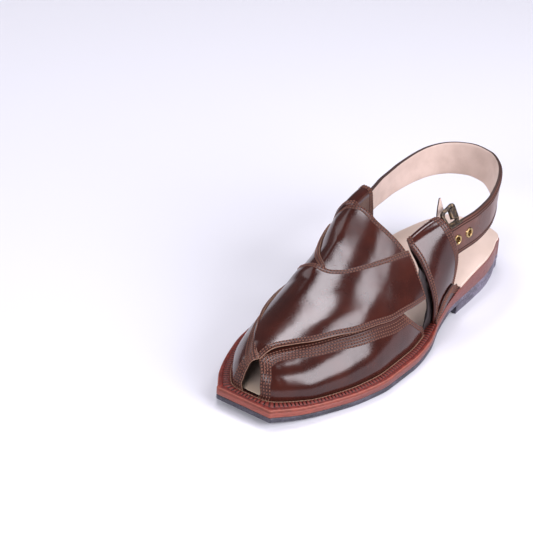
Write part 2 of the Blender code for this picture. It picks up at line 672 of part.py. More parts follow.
def make_back_strap():
    count = 56
    middle, rise, face = strap_line(count)
    grid = middle[:, None] + rise[:, None] * np.linspace(-0.5, 0.5, 3)[None, :, None]
    normal = np.repeat(face[:, None], 3, axis=1)
    half = STRAP_THICK / 2
    strap = sheet("back_strap", grid, normal, -half, half, STRAP_LEATHER, 0.35)
    for number, place in enumerate(EYELET_PLACES, 1):
        cut = strap.modifiers.new("eyelet_hole", "BOOLEAN")
        cut.operation = "DIFFERENCE"
        cut.solver = "EXACT"
        cut.object = hole_cutter("eyelet_cutter_%d" % number, place)
    return strap


def ring(place, radius, height, steps):
    """Points of a circle round the strap's eyelet axis, at a height out of the strap's middle."""
    middle, side, up, face = strap_axes(place)
    turns = np.linspace(0, 2 * math.pi, steps, endpoint=False)[:, None]
    return middle + (np.cos(turns) * side + np.sin(turns) * up) * radius + face * height


def tube_faces(rings, sides, closed):
    """Faces between rings of points, joined end to end or capped."""
    faces = []
    for i in range(rings if closed else rings - 1):
        a, b = i * sides, (i + 1) % rings * sides
        for j in range(sides):
            k = (j + 1) % sides
            faces.append((a + j, a + k, b + k, b + j))
    if not closed:
        last = (rings - 1) * sides
        faces += [tuple(range(sides)), tuple(range(last, last + sides))]
    return faces


def hole_cutter(name, place):
    steps = 16
    radius = EYELET_HOLE_RADIUS + EYELET_BARREL + GAP
    points = np.vstack([ring(place, radius, height, steps) for height in (-STRAP_THICK, STRAP_THICK)])
    cutter = finish_mesh(name, points, tube_faces(2, steps, False), RUBBER, 0.5)
    cutter.hide_render = True
    cutter.display_type = "WIRE"
    return cutter


def make_eyelet(number, place):
    """A pressed brass ring through the strap, rolled over both faces."""
    steps = 18
    face, hole, thick = STRAP_THICK / 2 + GAP, EYELET_HOLE_RADIUS, EYELET_RIM_THICK
    outer = [(hole, face + 0.2), (hole + 0.5, face + thick), (EYELET_RIM_RADIUS - 0.6, face + thick),
             (EYELET_RIM_RADIUS, face), (hole + EYELET_BARREL, face)]
    profile = outer + [(radius, -height) for radius, height in outer[::-1]]
    points = np.vstack([ring(place, radius, height, steps) for radius, height in profile])
    faces = tube_faces(len(profile), steps, True)
    return finish_mesh("eyelet_%d" % number, points, faces, (0.55, 0.36, 0.13), 0.3, 1.0)


def rounded_corners(corners, radius, steps):
    """A closed line through the corners, each cut by a smooth bend."""
    path = []
    for before, corner, after in zip((corners[-1],) + corners[:-1], corners, corners[1:] + corners[:1]):
        corner = Vector(corner)
        start = corner + (Vector(before) - corner).normalized() * radius
        end = corner + (Vector(after) - corner).normalized() * radius
        for i in range(steps):
            t = i / (steps - 1)
            path.append(start * (1 - t) ** 2 + corner * 2 * t * (1 - t) + end * t ** 2)
    return path


def make_buckle_frame():
    """A four-sided metal frame with round corners; its rear bar is broad and flat."""
    lower, rear_lower, rear_upper, upper = (Vector(corner) for corner in BUCKLE_CORNERS)
    middle = (lower + rear_lower + rear_upper + upper) / 4
    flat = (rear_upper - lower).cross(upper - rear_lower).normalized()
    bar = (rear_upper - rear_lower).normalized()
    aft = bar.cross(flat).normalized()
    aft *= math.copysign(1, aft.dot(rear_lower - lower))
    rear = (rear_lower - middle).dot(aft)
    points, sides = [], 8
    path = rounded_corners(BUCKLE_CORNERS, BUCKLE_CORNER_RADIUS, 5)
    for i, place in enumerate(path):
        way = (path[(i + 1) % len(path)] - path[i - 1]).normalized()
        spoke = way.cross(flat).normalized()
        spoke *= math.copysign(1, spoke.dot(place - middle))
        broad = float(smoothstep(((place - middle).dot(aft) - rear + BUCKLE_BAR_START) / BUCKLE_BAR_RUN))
        wide = BUCKLE_WIRE + (BUCKLE_OUTER_BAR_WIDTH - BUCKLE_WIRE) * broad
        thick = BUCKLE_WIRE + (BUCKLE_OUTER_BAR_THICK - BUCKLE_WIRE) * broad
        centre = place - spoke * ((wide - BUCKLE_WIRE) / 2)
        for j in range(sides):
            turn = 2 * math.pi * (j + 0.5) / sides
            across = max(-1.0, min(1.0, BUCKLE_SQUARENESS * math.cos(turn))) * wide / 2
            deep = max(-1.0, min(1.0, BUCKLE_SQUARENESS * math.sin(turn))) * thick / 2
            points.append(centre + spoke * across + flat * deep)
    faces = tube_faces(len(path), sides, True)
    return finish_mesh("buckle_frame", points, faces, (0.09, 0.065, 0.04), 0.35, 0.9)


def make_buckle_prong():
    """The prong lies beside the frame's near arm, from the hinge past the rear bar."""
    sides, line = 8, along(PRONG_LINE, len(PRONG_TAPER))
    way = Vector(line[-1] - line[0]).normalized()
    side = way.cross(Vector((0, 0, 1))).normalized()
    up = side.cross(way)
    points = []
    for place, share in zip(line, PRONG_TAPER):
        for j in range(sides):
            turn = 2 * math.pi * j / sides
            spoke = side * math.cos(turn) + up * math.sin(turn)
            points.append(Vector(place) + spoke * PRONG_RADIUS * share)
    faces = tube_faces(len(line), sides, False)
    return finish_mesh("buckle_prong", points, faces, (0.12, 0.09, 0.055), 0.3, 0.9)


def make_strap_tip():
    rows = along(TIP_ROWS, 9)
    half_width = (rows[:, 3] / 2)[:, None, None] * np.linspace(-1, 1, 3)[None, :, None]
    grid = rows[:, None, :3] + half_width * np.array(TIP_WAY)
    face = np.array(TIP_FACE) / np.linalg.norm(TIP_FACE)
    half = TIP_THICK / 2
    return sheet("strap_tip", grid, np.broadcast_to(face, grid.shape), -half, half, STRAP_LEATHER, 0.35)


def centre_on_floor(bodies):
    """Moves everything so that the middle of the box round the shoe stands over the origin."""
    bpy.context.view_layer.update()
    graph = bpy.context.evaluated_depsgraph_get()
    corners = []
    for body in bodies:
        shape = body.evaluated_get(graph)
        corners += [shape.matrix_world @ Vector(corner) for corner in shape.bound_box]
    low = Vector([min(c[i] for c in corners) for i in range(3)])
    high = Vector([max(c[i] for c in corners) for i in range(3)])
    middle = (low + high) / 2
    for body in bpy.context.scene.objects:
        body.location -= Vector((middle.x, middle.y, low.z))
    bpy.context.view_layer.update()


def main():
    for old in list(bpy.data.objects):
        bpy.data.objects.remove(old)
    bodies = [make_outsole(), make_heel_block(), make_midsole(), make_welt(), make_insole(), make_upper()]
    bodies.append(make_band("lateral_band", LATERAL_BAND_FRONT, LATERAL_BAND_REAR, 1.0))
    bodies.append(make_band("medial_band", MEDIAL_BAND_FRONT, MEDIAL_BAND_REAR, -1.0))
    bodies += [make_apron(), make_back_strap()]
    for number, place in enumerate(EYELET_PLACES, 1):
        bodies.append(make_eyelet(number, place))
    bodies += [make_buckle_frame(), make_buckle_prong(), make_strap_tip()]
    centre_on_floor(bodies)


main()
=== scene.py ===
"""The looks of a left peshawari chappal: a leather sandal with a crossed vamp, two looped side bands and
a buckled back strap. Tables and sizes are in millimetres, with +X to the outer side of the foot, the toe
towards -Y and the floor at z = 0; the meshes are made in metres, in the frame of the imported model.
"""

import math

import bmesh
import bpy
import numpy as np
from mathutils import Matrix, Quaternion, Vector
from mathutils.kdtree import KDTree


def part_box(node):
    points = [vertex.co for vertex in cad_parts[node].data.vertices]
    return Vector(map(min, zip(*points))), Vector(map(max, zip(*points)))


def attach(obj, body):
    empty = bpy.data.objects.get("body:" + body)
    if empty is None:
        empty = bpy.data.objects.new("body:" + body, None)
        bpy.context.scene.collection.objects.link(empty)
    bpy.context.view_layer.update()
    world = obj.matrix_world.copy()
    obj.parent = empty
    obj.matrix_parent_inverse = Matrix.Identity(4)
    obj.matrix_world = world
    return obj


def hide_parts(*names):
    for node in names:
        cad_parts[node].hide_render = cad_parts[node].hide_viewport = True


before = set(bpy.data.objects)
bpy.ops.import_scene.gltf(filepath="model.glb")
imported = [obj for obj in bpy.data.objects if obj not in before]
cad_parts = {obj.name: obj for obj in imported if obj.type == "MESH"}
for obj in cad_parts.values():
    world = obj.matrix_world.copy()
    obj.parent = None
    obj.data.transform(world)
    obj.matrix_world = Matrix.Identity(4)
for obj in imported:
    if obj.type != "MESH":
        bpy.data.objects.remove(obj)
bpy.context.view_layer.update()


# The studio: a pale paper floor, a softbox high above, a wide one at the outer side of the shoe, a strip
# behind it and two fills. The camera looks down on the toe from the outer side through a long lens. The
# tables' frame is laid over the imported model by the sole's toe and outer edge.
MM = 0.001
TOE_EDGE, OUTER_EDGE = -143.7, 59.4
sole_low, sole_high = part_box("outsole")
SHIFT = np.array([sole_high.x / MM - OUTER_EDGE, sole_low.y / MM - TOE_EDGE, 0.0])

CAMERA_PLACE = (680.1, -1103.1, 827.2)
CAMERA_RIGHT, CAMERA_UP, CAMERA_BACK = (
    (0.8034, 0.5935, 0.0475), (-0.3398, 0.3916, 0.8551), (0.4889, -0.7031, 0.5163),
)
LENS = 143.9

camera_data = bpy.data.cameras.new("camera")
camera_data.lens = LENS
camera_data.sensor_width = 36.0
camera_data.clip_end = 20.0
camera = bpy.data.objects.new("camera", camera_data)
bpy.context.scene.collection.objects.link(camera)
place = (np.array(CAMERA_PLACE) + SHIFT) * MM
rows = list(zip(CAMERA_RIGHT, CAMERA_UP, CAMERA_BACK, place))
camera.matrix_world = Matrix(rows + [(0.0, 0.0, 0.0, 1.0)])
bpy.context.scene.camera = camera
bpy.context.scene.view_settings.view_transform = "Standard"


class Wire:
    """A socket of a finish. A sum or product with numbers or other sockets adds its Math nodes."""

    def __init__(self, finish, socket):
        self.finish, self.socket = finish, socket

    def math(self, operation, *values):
        return self.finish.node("Math", {"operation": operation}, dict(enumerate(values)))

    def __add__(self, other):
        return self.math("ADD", self, other)

    def __sub__(self, other):
        return self.math("SUBTRACT", self, other)

    def __rsub__(self, other):
        return self.math("SUBTRACT", other, self)

    def __mul__(self, other):
        return self.math("MULTIPLY", self, other)

    def __truediv__(self, other):
        return self.math("DIVIDE", self, other)

    __radd__, __rmul__ = __add__, __mul__

    def rise(self, low, high):
        """0 up to low and 1 from high on, smooth between."""
        settings = {"interpolation_type": "SMOOTHSTEP"}
        return self.finish.node("MapRange", settings, {0: self, 1: low, 2: high})

    def near(self, value, width):
        """1 at a value, falling to 0 at a width from it."""
        return 1 - self.math("ABSOLUTE", self - value).rise(0.0, width)

    def repeat(self, pitch):
        """0 to 1 over each stretch of one pitch."""
        return self.math("FRACT", self / pitch)


class Finish:
    """A material. What is the same all over it is set on its shader at once; what varies is wired."""

    def __init__(self, name, steady):
        self.material = bpy.data.materials.new(name)
        self.material.use_nodes = True
        self.shader = self.material.node_tree.nodes["Principled BSDF"]
        for socket, value in steady.items():
            self.feed(value, self.shader.inputs[socket])

    def feed(self, value, socket):
        if isinstance(value, Wire):
            self.material.node_tree.links.new(value.socket, socket)
        elif isinstance(value, tuple) and socket.type == "RGBA":
            socket.default_value = (*value, 1.0)
        else:
            socket.default_value = value

    def node(self, kind, settings, sockets, output=0):
        """Any node: its settings first, then the values or wires of its sockets."""
        made = self.material.node_tree.nodes.new("ShaderNode" + kind)
        for name, value in settings.items():
            setattr(made, name, value)
        for name, value in sockets.items():
            self.feed(value, made.inputs[name])
        return Wire(self, made.outputs[output])

    def scaled_place(self, size, stretch):
        place = self.node("TexCoord", {}, {}, "Object")
        scale = tuple(1 / (MM * size * s) for s in stretch)
        return self.node("VectorMath", {"operation": "MULTIPLY"}, {0: place, 1: scale})

    def noise(self, size, detail=2.0, stretch=(1, 1, 1)):
        """Cloudy variation from 0 to 1, whose blots are about so many millimetres wide."""
        where = self.scaled_place(size, stretch)
        return self.node("TexNoise", {}, {"Vector": where, "Scale": 1.0, "Detail": detail})

    def cells(self, size, stretch=(1, 1, 1)):
        """How far a place is from the border of its cell, for pebbled grain."""
        where = self.scaled_place(size, stretch)
        settings = {"feature": "DISTANCE_TO_EDGE"}
        return self.node("TexVoronoi", settings, {"Vector": where, "Scale": 1.0})

    def axis(self, number):
        """The x, y or z of a place, in millimetres."""
        place = self.node("TexCoord", {}, {}, "Object")
        return self.node("SeparateXYZ", {}, {0: place}, number) * 1000.0

    def mark(self, name):
        """A number that the mesh carries at each of its points."""
        return self.node("Attribute", {"attribute_name": name}, {}, "Fac")

    def mix(self, share, first, second):
        return self.node("Mix", {"data_type": "RGBA"}, {0: share, 6: first, 7: second}, 2)

    def colour(self, share, first, second):
        self.feed(self.mix(share, first, second), self.shader.inputs["Base Color"])

    def roughness(self, value):
        self.feed(value, self.shader.inputs["Roughness"])

    def relief(self, height):
        """Raises and sinks the surface by a height in millimetres."""
        sockets = {"Strength": 1.0, "Distance": MM, "Height": height}
        self.feed(self.node("Bump", {}, sockets), self.shader.inputs["Normal"])


FLOOR_HALF = 6.0
FLOOR_COLOUR, FLOOR_PALE = (0.69, 0.70, 0.74), (0.697, 0.707, 0.747)
LAMP_COLOUR, AIM_HEIGHT = (0.97, 0.935, 1.0), 0.04
WATTS_PER_RADIANCE = 4
AIR_COLOUR, AIR_STRENGTH = (0.9, 0.9, 1.0, 1.0), 0.15

floor_mesh = bpy.data.meshes.new("floor")
corners = [(x * FLOOR_HALF, y * FLOOR_HALF, 0.0) for x, y in ((-1, -1), (1, -1), (1, 1), (-1, 1))]
floor_mesh.from_pydata(corners, [], [(0, 1, 2, 3)])
floor = bpy.data.objects.new("floor", floor_mesh)
bpy.context.scene.collection.objects.link(floor)
paper = Finish("studio_paper", {"Roughness": 0.8, "Specular IOR Level": 0.2})
paper.colour(paper.noise(900.0), FLOOR_COLOUR, FLOOR_PALE)
floor_mesh.materials.append(paper.material)


def softbox(name, azimuth, elevation, size, distance, radiance, twist=0.0):
    """A rectangular lamp aimed at the shoe, in metres. Azimuth 0 is the toe and 90 the outer side."""
    lamp = bpy.data.lights.new(name, "AREA")
    lamp.shape = "RECTANGLE"
    lamp.size, lamp.size_y = size
    lamp.energy = radiance * WATTS_PER_RADIANCE * size[0] * size[1]
    lamp.color = LAMP_COLOUR
    shown = bpy.data.objects.new(name, lamp)
    turn, lift = math.radians(azimuth), math.radians(elevation)
    way = Vector((math.cos(lift) * math.sin(turn), -math.cos(lift) * math.cos(turn), math.sin(lift)))
    shown.location = way * distance + Vector((0.0, 0.0, AIM_HEIGHT))
    aim = way.to_track_quat("Z", "Y") @ Quaternion((0.0, 0.0, 1.0), math.radians(twist))
    shown.rotation_euler = aim.to_euler()
    bpy.context.scene.collection.objects.link(shown)


softbox("softbox_above", -129.0, 69.5, (0.56, 0.42), 1.4, 9.5, 39.0)
softbox("softbox_beside", 92.0, 30.0, (0.95, 0.80), 1.4, 7.5)
softbox("strip_behind", 130.0, 62.0, (0.27, 0.60), 1.4, 8.0)
softbox("fill_in_front", 8.0, 29.0, (0.7, 0.5), 1.6, 10.0)
softbox("fill_at_inner_side", -75.0, 30.0, (1.4, 1.0), 1.7, 1.3)
sky = bpy.data.worlds.new("studio_air")
sky.use_nodes = True
air = sky.node_tree.nodes["Background"].inputs
air["Color"].default_value = AIR_COLOUR
air["Strength"].default_value = AIR_STRENGTH
bpy.context.scene.world = sky


# The heel block: a black rubber lift moulded to the outline of the heel, with a straight breast at its
# front, glued and pegged under the outsole. Its sides are a little rough and greyed with dust, and their
# lavender tint is partly painted sheen that stands for the reflection of the pale backdrop.
GAP = 0.3
BREAST_Y = 60.0
HEEL_LIFT = 6.6
HEEL_CAP_Y, HEEL_CAP_DEPTH, HEEL_BREADTH, HEEL_ROUNDNESS = 134.5, 13.0, 0.8, 0.9
TOE_CORNER = 2.2
TOE_SPRING, SPRING_START, SPRING_RUN = 3.5, -85.0, 60.0
WAIST_START = -15.0
GROOVE_INSET, GROOVE_WIDTH, GROOVE_DEPTH = 6.5, 0.9, 0.9
TREAD_INSET, TREAD_END_Y, TREAD_FADE, TREAD_PITCH, TREAD_DEPTH = 10.5, 8.0, 6.0, 6.0, 0.8
SOLE_OUTLINE = np.array((
    # y, medial edge, lateral edge
    (-143.7, -22, 21.9),
    (-125, -34.6, 34.5),
    (-102.5, -44.6, 45),
    (-77, -51.8, 54.6),
    (-52.5, -54.1, 59.2),
    (-25, -51.4, 59.4),
    (2.5, -47.3, 55.9),
    (27, -43.6, 48),
    (52.5, -40.1, 42.7),
    (78, -37, 41),
    (102.5, -33.2, 38.9),
    (120, -29.4, 35),
    (134.5, -24.2, 29.6),
))


def monotone(xs, ys):
    """A smooth curve through the points that never overshoots them."""
    xs, ys = np.asarray(xs, float), np.asarray(ys, float)
    step, slope = np.diff(xs), np.diff(ys) / np.diff(xs)
    tangent = np.empty_like(ys)
    tangent[0], tangent[-1] = slope[0], slope[-1]
    for i in range(1, len(xs) - 1):
        a, b = slope[i - 1], slope[i]
        w1, w2 = 2 * step[i] + step[i - 1], step[i] + 2 * step[i - 1]
        tangent[i] = 0.0 if a * b <= 0 else (w1 + w2) / (w1 / a + w2 / b)

    def value(x):
        x = np.clip(x, xs[0], xs[-1])
        i = np.clip(np.searchsorted(xs, x) - 1, 0, len(xs) - 2)
        h = step[i]
        t = (x - xs[i]) / h
        return (
            (1 + 2 * t) * (1 - t) ** 2 * ys[i]
            + t * (1 - t) ** 2 * h * tangent[i]
            + t * t * (3 - 2 * t) * ys[i + 1]
            + t * t * (t - 1) * h * tangent[i + 1]
        )

    return value


def smoothstep(value):
    t = np.clip(value, 0.0, 1.0)
    return t * t * (3 - 2 * t)


def unit(vectors):
    return vectors / np.linalg.norm(vectors, axis=-1, keepdims=True)


def run_of(line):
    """How far along a line each of its points is."""
    return np.concatenate([[0], np.cumsum(np.linalg.norm(np.diff(line, axis=0), axis=1))])


def resample(line, step):
    """Evenly spaced points on a line, about a step apart, with both of its ends."""
    line = np.asarray(line, float)
    length = run_of(line)
    at = np.linspace(0, length[-1], max(2, int(round(length[-1] / step)) + 1))
    return np.stack([np.interp(at, length, line[:, i]) for i in range(line.shape[1])], -1)


def spring(y):
    return TOE_SPRING * np.clip((SPRING_START - y) / SPRING_RUN, 0, 1) ** 2


def tread_height(y):
    lift = (HEEL_LIFT + GAP) * smoothstep((y - WAIST_START) / (BREAST_Y - WAIST_START))
    return lift + spring(y)


medial_edge = monotone(SOLE_OUTLINE[:, 0], SOLE_OUTLINE[:, 1])
lateral_edge = monotone(SOLE_OUTLINE[:, 0], SOLE_OUTLINE[:, 2])


def sole_side(edge, first, count=300):
    """One side of the sole in plan, from its front round to the back of the heel, with outward normals."""
    outward = math.copysign(1, edge(0.0))
    middle = (medial_edge(HEEL_CAP_Y) + lateral_edge(HEEL_CAP_Y)) / 2
    ys = np.linspace(first, HEEL_CAP_Y, 700)
    line = np.stack([edge(ys), ys], -1)
    corner = first + TOE_CORNER
    if first == TOE_EDGE:
        turn = np.linspace(math.pi / 2, 0, 12)
        start = np.array([edge(corner) - outward * TOE_CORNER, corner])
        bend = np.stack([outward * np.cos(turn), -np.sin(turn)], -1) * TOE_CORNER + start
        line = np.vstack([bend, line[ys > corner]])
    turn = np.radians(np.linspace(0, 89.4, 120))[1:]
    across = middle + (edge(HEEL_CAP_Y) - middle) * np.cos(turn) ** HEEL_BREADTH
    back = HEEL_CAP_Y + HEEL_CAP_DEPTH * np.sin(turn) ** HEEL_ROUNDNESS
    line = np.vstack([line, np.stack([across, back], -1)])
    line = resample(line, run_of(line)[-1] / (count - 1))
    way = np.gradient(line, axis=0)
    out = unit(np.stack([way[:, 1], -way[:, 0]], -1) * outward)
    out[0] = (0.0, -1.0) if first == TOE_EDGE else (outward, -1.0)
    return line, out


def make_piece(name, points, faces, finishes, parts=None, marks=None, closed=True, bend=40):
    """A shown piece. Parts gives the finish of each face and marks the numbers that its points carry."""
    mesh = bpy.data.meshes.new(name)
    corners = (np.asarray(points) + SHIFT) * MM
    mesh.from_pydata(corners.tolist(), [], [tuple(map(int, face)) for face in faces])
    for finish in finishes:
        mesh.materials.append(finish.material)
    if parts is not None:
        mesh.polygons.foreach_set("material_index", np.asarray(parts, dtype=np.int32))
    for mark, values in (marks or {}).items():
        mesh.attributes.new(mark, "FLOAT", "POINT").data.foreach_set("value", np.asarray(values, float))
    if closed:
        shape = bmesh.new()
        shape.from_mesh(mesh)
        bmesh.ops.recalc_face_normals(shape, faces=shape.faces)
        shape.to_mesh(mesh)
        shape.free()
    mesh.shade_smooth()
    mesh.set_sharp_from_angle(angle=math.radians(bend))
    piece = bpy.data.objects.new(name, mesh)
    bpy.context.scene.collection.objects.link(piece)
    return piece


def wall_faces(rings, count, joined=False, base=0):
    """Faces between closed rings of points; joined closes the last ring on the first."""
    faces = []
    for r in range(rings if joined else rings - 1):
        here, there = base + r * count, base + (r + 1) % rings * count
        for i in range(count):
            after = (i + 1) % count
            faces.append((here + i, here + after, there + after, there + i))
    return faces


def layer_faces(rings, count):
    """The walls of a layer and its flat faces, which span from its lateral to its medial side."""
    faces = wall_faces(rings, count)
    for base in (0, (rings - 1) * count):
        for i in range(count // 2 - 1):
            faces.append((base + i, base + i + 1, base + count - 2 - i, base + count - 1 - i))
    return faces


def sole_layer(name, first, low, high, rings, finish):
    """A layer between two heights, from rings of (inset, share of the way up, rise above that, wear)."""
    sides = [sole_side(edge, first) for edge in (lateral_edge, medial_edge)]
    loop, out = (np.vstack([sides[0][part], sides[1][part][::-1]]) for part in (0, 1))
    points = []
    for inset, share, rise, _ in rings:
        flat = loop - out * inset
        y = flat[:, 1]
        points.append(np.column_stack([flat, low(y) * (1 - share) + high(y) * share + rise]))
    marks = {"inset": np.repeat([ring[0] for ring in rings], len(loop)),
             "wear": np.repeat([ring[3] for ring in rings], len(loop))}
    return make_piece(name, np.vstack(points), layer_faces(len(rings), len(loop)), [finish], marks=marks)


rubber = Finish("black_rubber", {"IOR": 1.5})
dust_and_sheen = rubber.noise(14.0, 3.0) * rubber.noise(1.6, 3.0)
heelward = rubber.axis(1).rise(-20.0, 120.0)
# Partly dust and wear, partly painted sheen: the colour turns a lavender grey in random blots, on the worn
# edges and towards the heel, standing in for the backdrop's reflection.
rubber.colour(
    (dust_and_sheen * 2.2).rise(0.25, 0.9) * 0.7 + rubber.mark("wear") * 0.35,
    rubber.mix(heelward, (0.020, 0.019, 0.027), (0.055, 0.049, 0.070)),
    rubber.mix(heelward, (0.085, 0.078, 0.105), (0.26, 0.23, 0.31)),
)
rubber.roughness(0.42 + rubber.noise(3.0) * 0.22)
edge_groove = rubber.mark("inset").near(GROOVE_INSET, GROOVE_WIDTH) * GROOVE_DEPTH
tread = rubber.mark("inset").rise(TREAD_INSET, TREAD_INSET + 1)
forefoot = (TREAD_END_Y - rubber.axis(1)).rise(0.0, TREAD_FADE) * tread
slant = (rubber.axis(0) * 0.8 + rubber.axis(1)).repeat(TREAD_PITCH).near(0.5, 0.2) * TREAD_DEPTH
rough = rubber.noise(0.7, 3.0) * 0.14 + rubber.noise(4.0) * 0.2
rubber.relief(rough - edge_groove - slant * forefoot)

heel_block = sole_layer("heel_block_moulded", BREAST_Y, lambda y: 0 * y, lambda y: tread_height(y) - GAP, (
    (14, 0, 0, 0), (1.6, 0, 0, 0.3), (0.7, 0, 0.15, 1), (0.45, 0, 0.8, 0.6),
    (0.4, 0.5, 0, 0), (0.4, 1, -0.5, 0.1), (0.7, 1, 0, 0.3),
), rubber)
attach(heel_block, "root")
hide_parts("heel_block")


# The outsole: a sheet of black rubber about 4 mm thick, cut square at the toe, which lifts off the floor
# at the waist and at the toe. Its tread has a stitched groove round the edge and slanting grooves.
RUBBER_THICK = 4.1


def rubber_top(y):
    return tread_height(y) + RUBBER_THICK


outsole = sole_layer("outsole_sheet", TOE_EDGE, tread_height, rubber_top, (
    (16, 0, 0, 0), (11, 0, 0, 0), (8, 0, 0, 0), (6.5, 0, 0, 0),
    (5, 0, 0, 0), (2, 0, 0, 0), (0.9, 0, 0.1, 0.7), (0.2, 0, 0.7, 1),
    (0, 0, 1.5, 0.1), (0, 1, -0.7, 0.1), (0.35, 1, -0.1, 0.8), (1, 1, 0, 0.5),
), rubber)
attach(outsole, "root")
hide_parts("outsole")


# The midsole: board and leather built up under the welt, deeper at the heel, trimmed with the outsole and
# then stained red, waxed and burnished along its cut edge. Its brighter brick red round the toe is painted
# light, where the toe's front faces catch the light from the front.
WELT_THICK = 2.2
GLUE_LINE = 0.05
SEAT_FORE, SEAT_HEEL = 10.5, 26.0
SEAT_RISE_START, SEAT_RISE_RUN = -10.0, 110.0


def seat_height(y):
    """Top of the welt and of the insole."""
    rise = smoothstep((y - SEAT_RISE_START) / SEAT_RISE_RUN)
    return SEAT_FORE + (SEAT_HEEL - SEAT_FORE) * rise + spring(y)


burnished = Finish("burnished_edge", {"IOR": 1.5})
# Painted light: the colour turns a brighter, redder brick towards the toe, standing in for the front light
# on the toe's faces.
painted_front_light = (0 - burnished.axis(1)).rise(60.0, 135.0)
streaks = burnished.noise(5.0, 4.0, (1.0, 1.0, 0.12))
stain = burnished.noise(9.0, 3.0)
body = burnished.mix(painted_front_light, (0.17, 0.048, 0.043), (0.28, 0.062, 0.040))
body = burnished.mix(streaks.rise(0.42, 0.75) * 0.55, body, (0.035, 0.010, 0.014))
body = burnished.mix(stain.rise(0.5, 0.8) * 0.4, body, (0.20, 0.065, 0.050))
burnished.colour(burnished.mark("wear") * 0.55, body, (0.36, 0.16, 0.12))
burnished.roughness(0.3 + burnished.noise(2.5) * 0.25)
burnished.relief(streaks * 0.22 + burnished.noise(0.5, 2.0) * 0.06)


def under_welt(y):
    return seat_height(y) - WELT_THICK - GLUE_LINE


midsole = sole_layer("midsole_stack", TOE_EDGE, lambda y: rubber_top(y) + GLUE_LINE, under_welt, (
    (14, 0, 0, 0), (0.8, 0, 0, 0.4), (0.2, 0, 0.35, 0.8), (0, 0, 0.9, 0.1),
    (0.05, 0.5, 0, 0), (0, 1, -0.7, 0.1), (0.25, 1, -0.2, 0.5), (0.9, 1, 0, 0.3),
), burnished)
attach(midsole, "root")
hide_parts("midsole")


# The welt: a strip of dark red leather round the toe and both sides. Its outer half is smooth and
# bevelled, and its inner half is ribbed by a stout thread that sews it, the lining and the upper down. The
# troughs between the ribs are painted near black as shade.
WALL = 1.7
WELT_END_Y = 63.0
WELT_INSIDE = 2.6
WELT_TRIM = 0.05
RIB_PITCH, RIB_HEIGHT, RIB_ROUNDNESS, RIBBED_SHARE = 2.7, 1.0, 0.6, 0.6
FOOT_STEP, FOOT_CROWD = 0.45, 2.6
WELT_PROFILE = (
    # share of the way from the upper to the edge, rise over the seat, wear
    (1, -WELT_THICK, 0.3), (1, -0.75, 0.4), (0.965, -0.2, 1), (0.92, 0, 0.1), (0.75, 0, 0),
    (0.66, 0, 0), (0.62, -0.3, 0), (0.59, 0, 0), (0.48, 0, 0), (0.3, 0, 0),
    (0.1, 0, 0), (0, 0, 0),
)
LAST_SECTIONS = np.array((
    # y, lateral and medial half outline, height and place of the crest, squareness of each side
    (-134.6, 3, -4, 17, -1, 2.3, 2.3),
    (-133.8, 11, -12, 22, -1, 2.3, 2.3),
    (-132, 15, -16, 27.5, -1, 2.2, 2.3),
    (-129, 18.5, -19, 31.5, -2, 2.2, 2.3),
    (-125, 22, -22.5, 34, -2, 2.1, 2.3),
    (-120, 26, -26, 35.5, -3, 2.1, 2.28),
    (-110, 33, -32, 37.5, -4, 2.1, 2.2),
    (-95, 39.5, -38.2, 42, -6, 2.1, 1.95),
    (-75, 46.5, -43.5, 49, -9, 2.05, 1.7),
    (-50, 50.5, -44.6, 58.5, -12, 2, 1.65),
    (-20, 50, -43, 71.5, -15, 1.95, 1.7),
    (10, 46, -42, 87, -18, 1.9, 2.5),
    (40, 43, -38, 100, -18, 1.9, 2.6),
    (65, 40, -37, 110, -18, 1.9, 2.6),
))
LAST = {
    name: monotone(LAST_SECTIONS[:, 0], LAST_SECTIONS[:, i + 1])
    for i, name in enumerate("lateral medial crest_z crest_x lateral_power medial_power".split())
}


def foot_line(inset, count=1500):
    """The line where the upper meets the seat, drawn in by an inset, from the lateral rear round the toe."""
    first = LAST_SECTIONS[0, 0] + 0.05
    ys = first + (WELT_END_Y - first) * np.linspace(0, 1, count) ** FOOT_CROWD
    lateral = np.stack([LAST["lateral"](ys), ys], -1)
    medial = np.stack([LAST["medial"](ys), ys], -1)
    line = resample(np.vstack([lateral[::-1], medial]), FOOT_STEP)
    way = unit(np.gradient(line, axis=0))
    for _ in range(6):
        way[1:-1] = (way[:-2] + way[1:-1] + way[2:]) / 3
    outward = unit(np.stack([-way[:, 1], way[:, 0]], -1))
    return line - outward * inset, outward


def edge_ahead(line, outward, inset):
    """Where rays from a line, square to it, meet the sole's edge, drawn in by an inset."""
    lateral, lateral_out = sole_side(lateral_edge, TOE_EDGE, 900)
    medial, medial_out = sole_side(medial_edge, TOE_EDGE, 900)
    ring = np.vstack([(lateral - lateral_out * inset)[::-1], medial - medial_out * inset])
    reached = []
    for start, way in zip(line, outward):
        beyond = ring - start
        off = beyond[:, 0] * way[1] - beyond[:, 1] * way[0]
        ahead = beyond @ way
        i = np.nonzero(off[:-1] * off[1:] <= 0)[0]
        t = off[i] / (off[i] - off[i + 1])
        far = ahead[i] * (1 - t) + ahead[i + 1] * t
        nearest = np.argmin(np.where(far > 0, far, 1e6))
        i, t = i[nearest], t[nearest]
        reached.append(ring[i] * (1 - t) + ring[i + 1] * t)
    return np.array(reached)


welt_leather = Finish("welt_leather", {"Specular IOR Level": 0.35})
inner_half = welt_leather.mark("inner_half")
mottle = welt_leather.noise(3.5, 3.0)
red = welt_leather.mix(mottle.rise(0.35, 0.7), (0.10, 0.013, 0.010), (0.20, 0.028, 0.019))
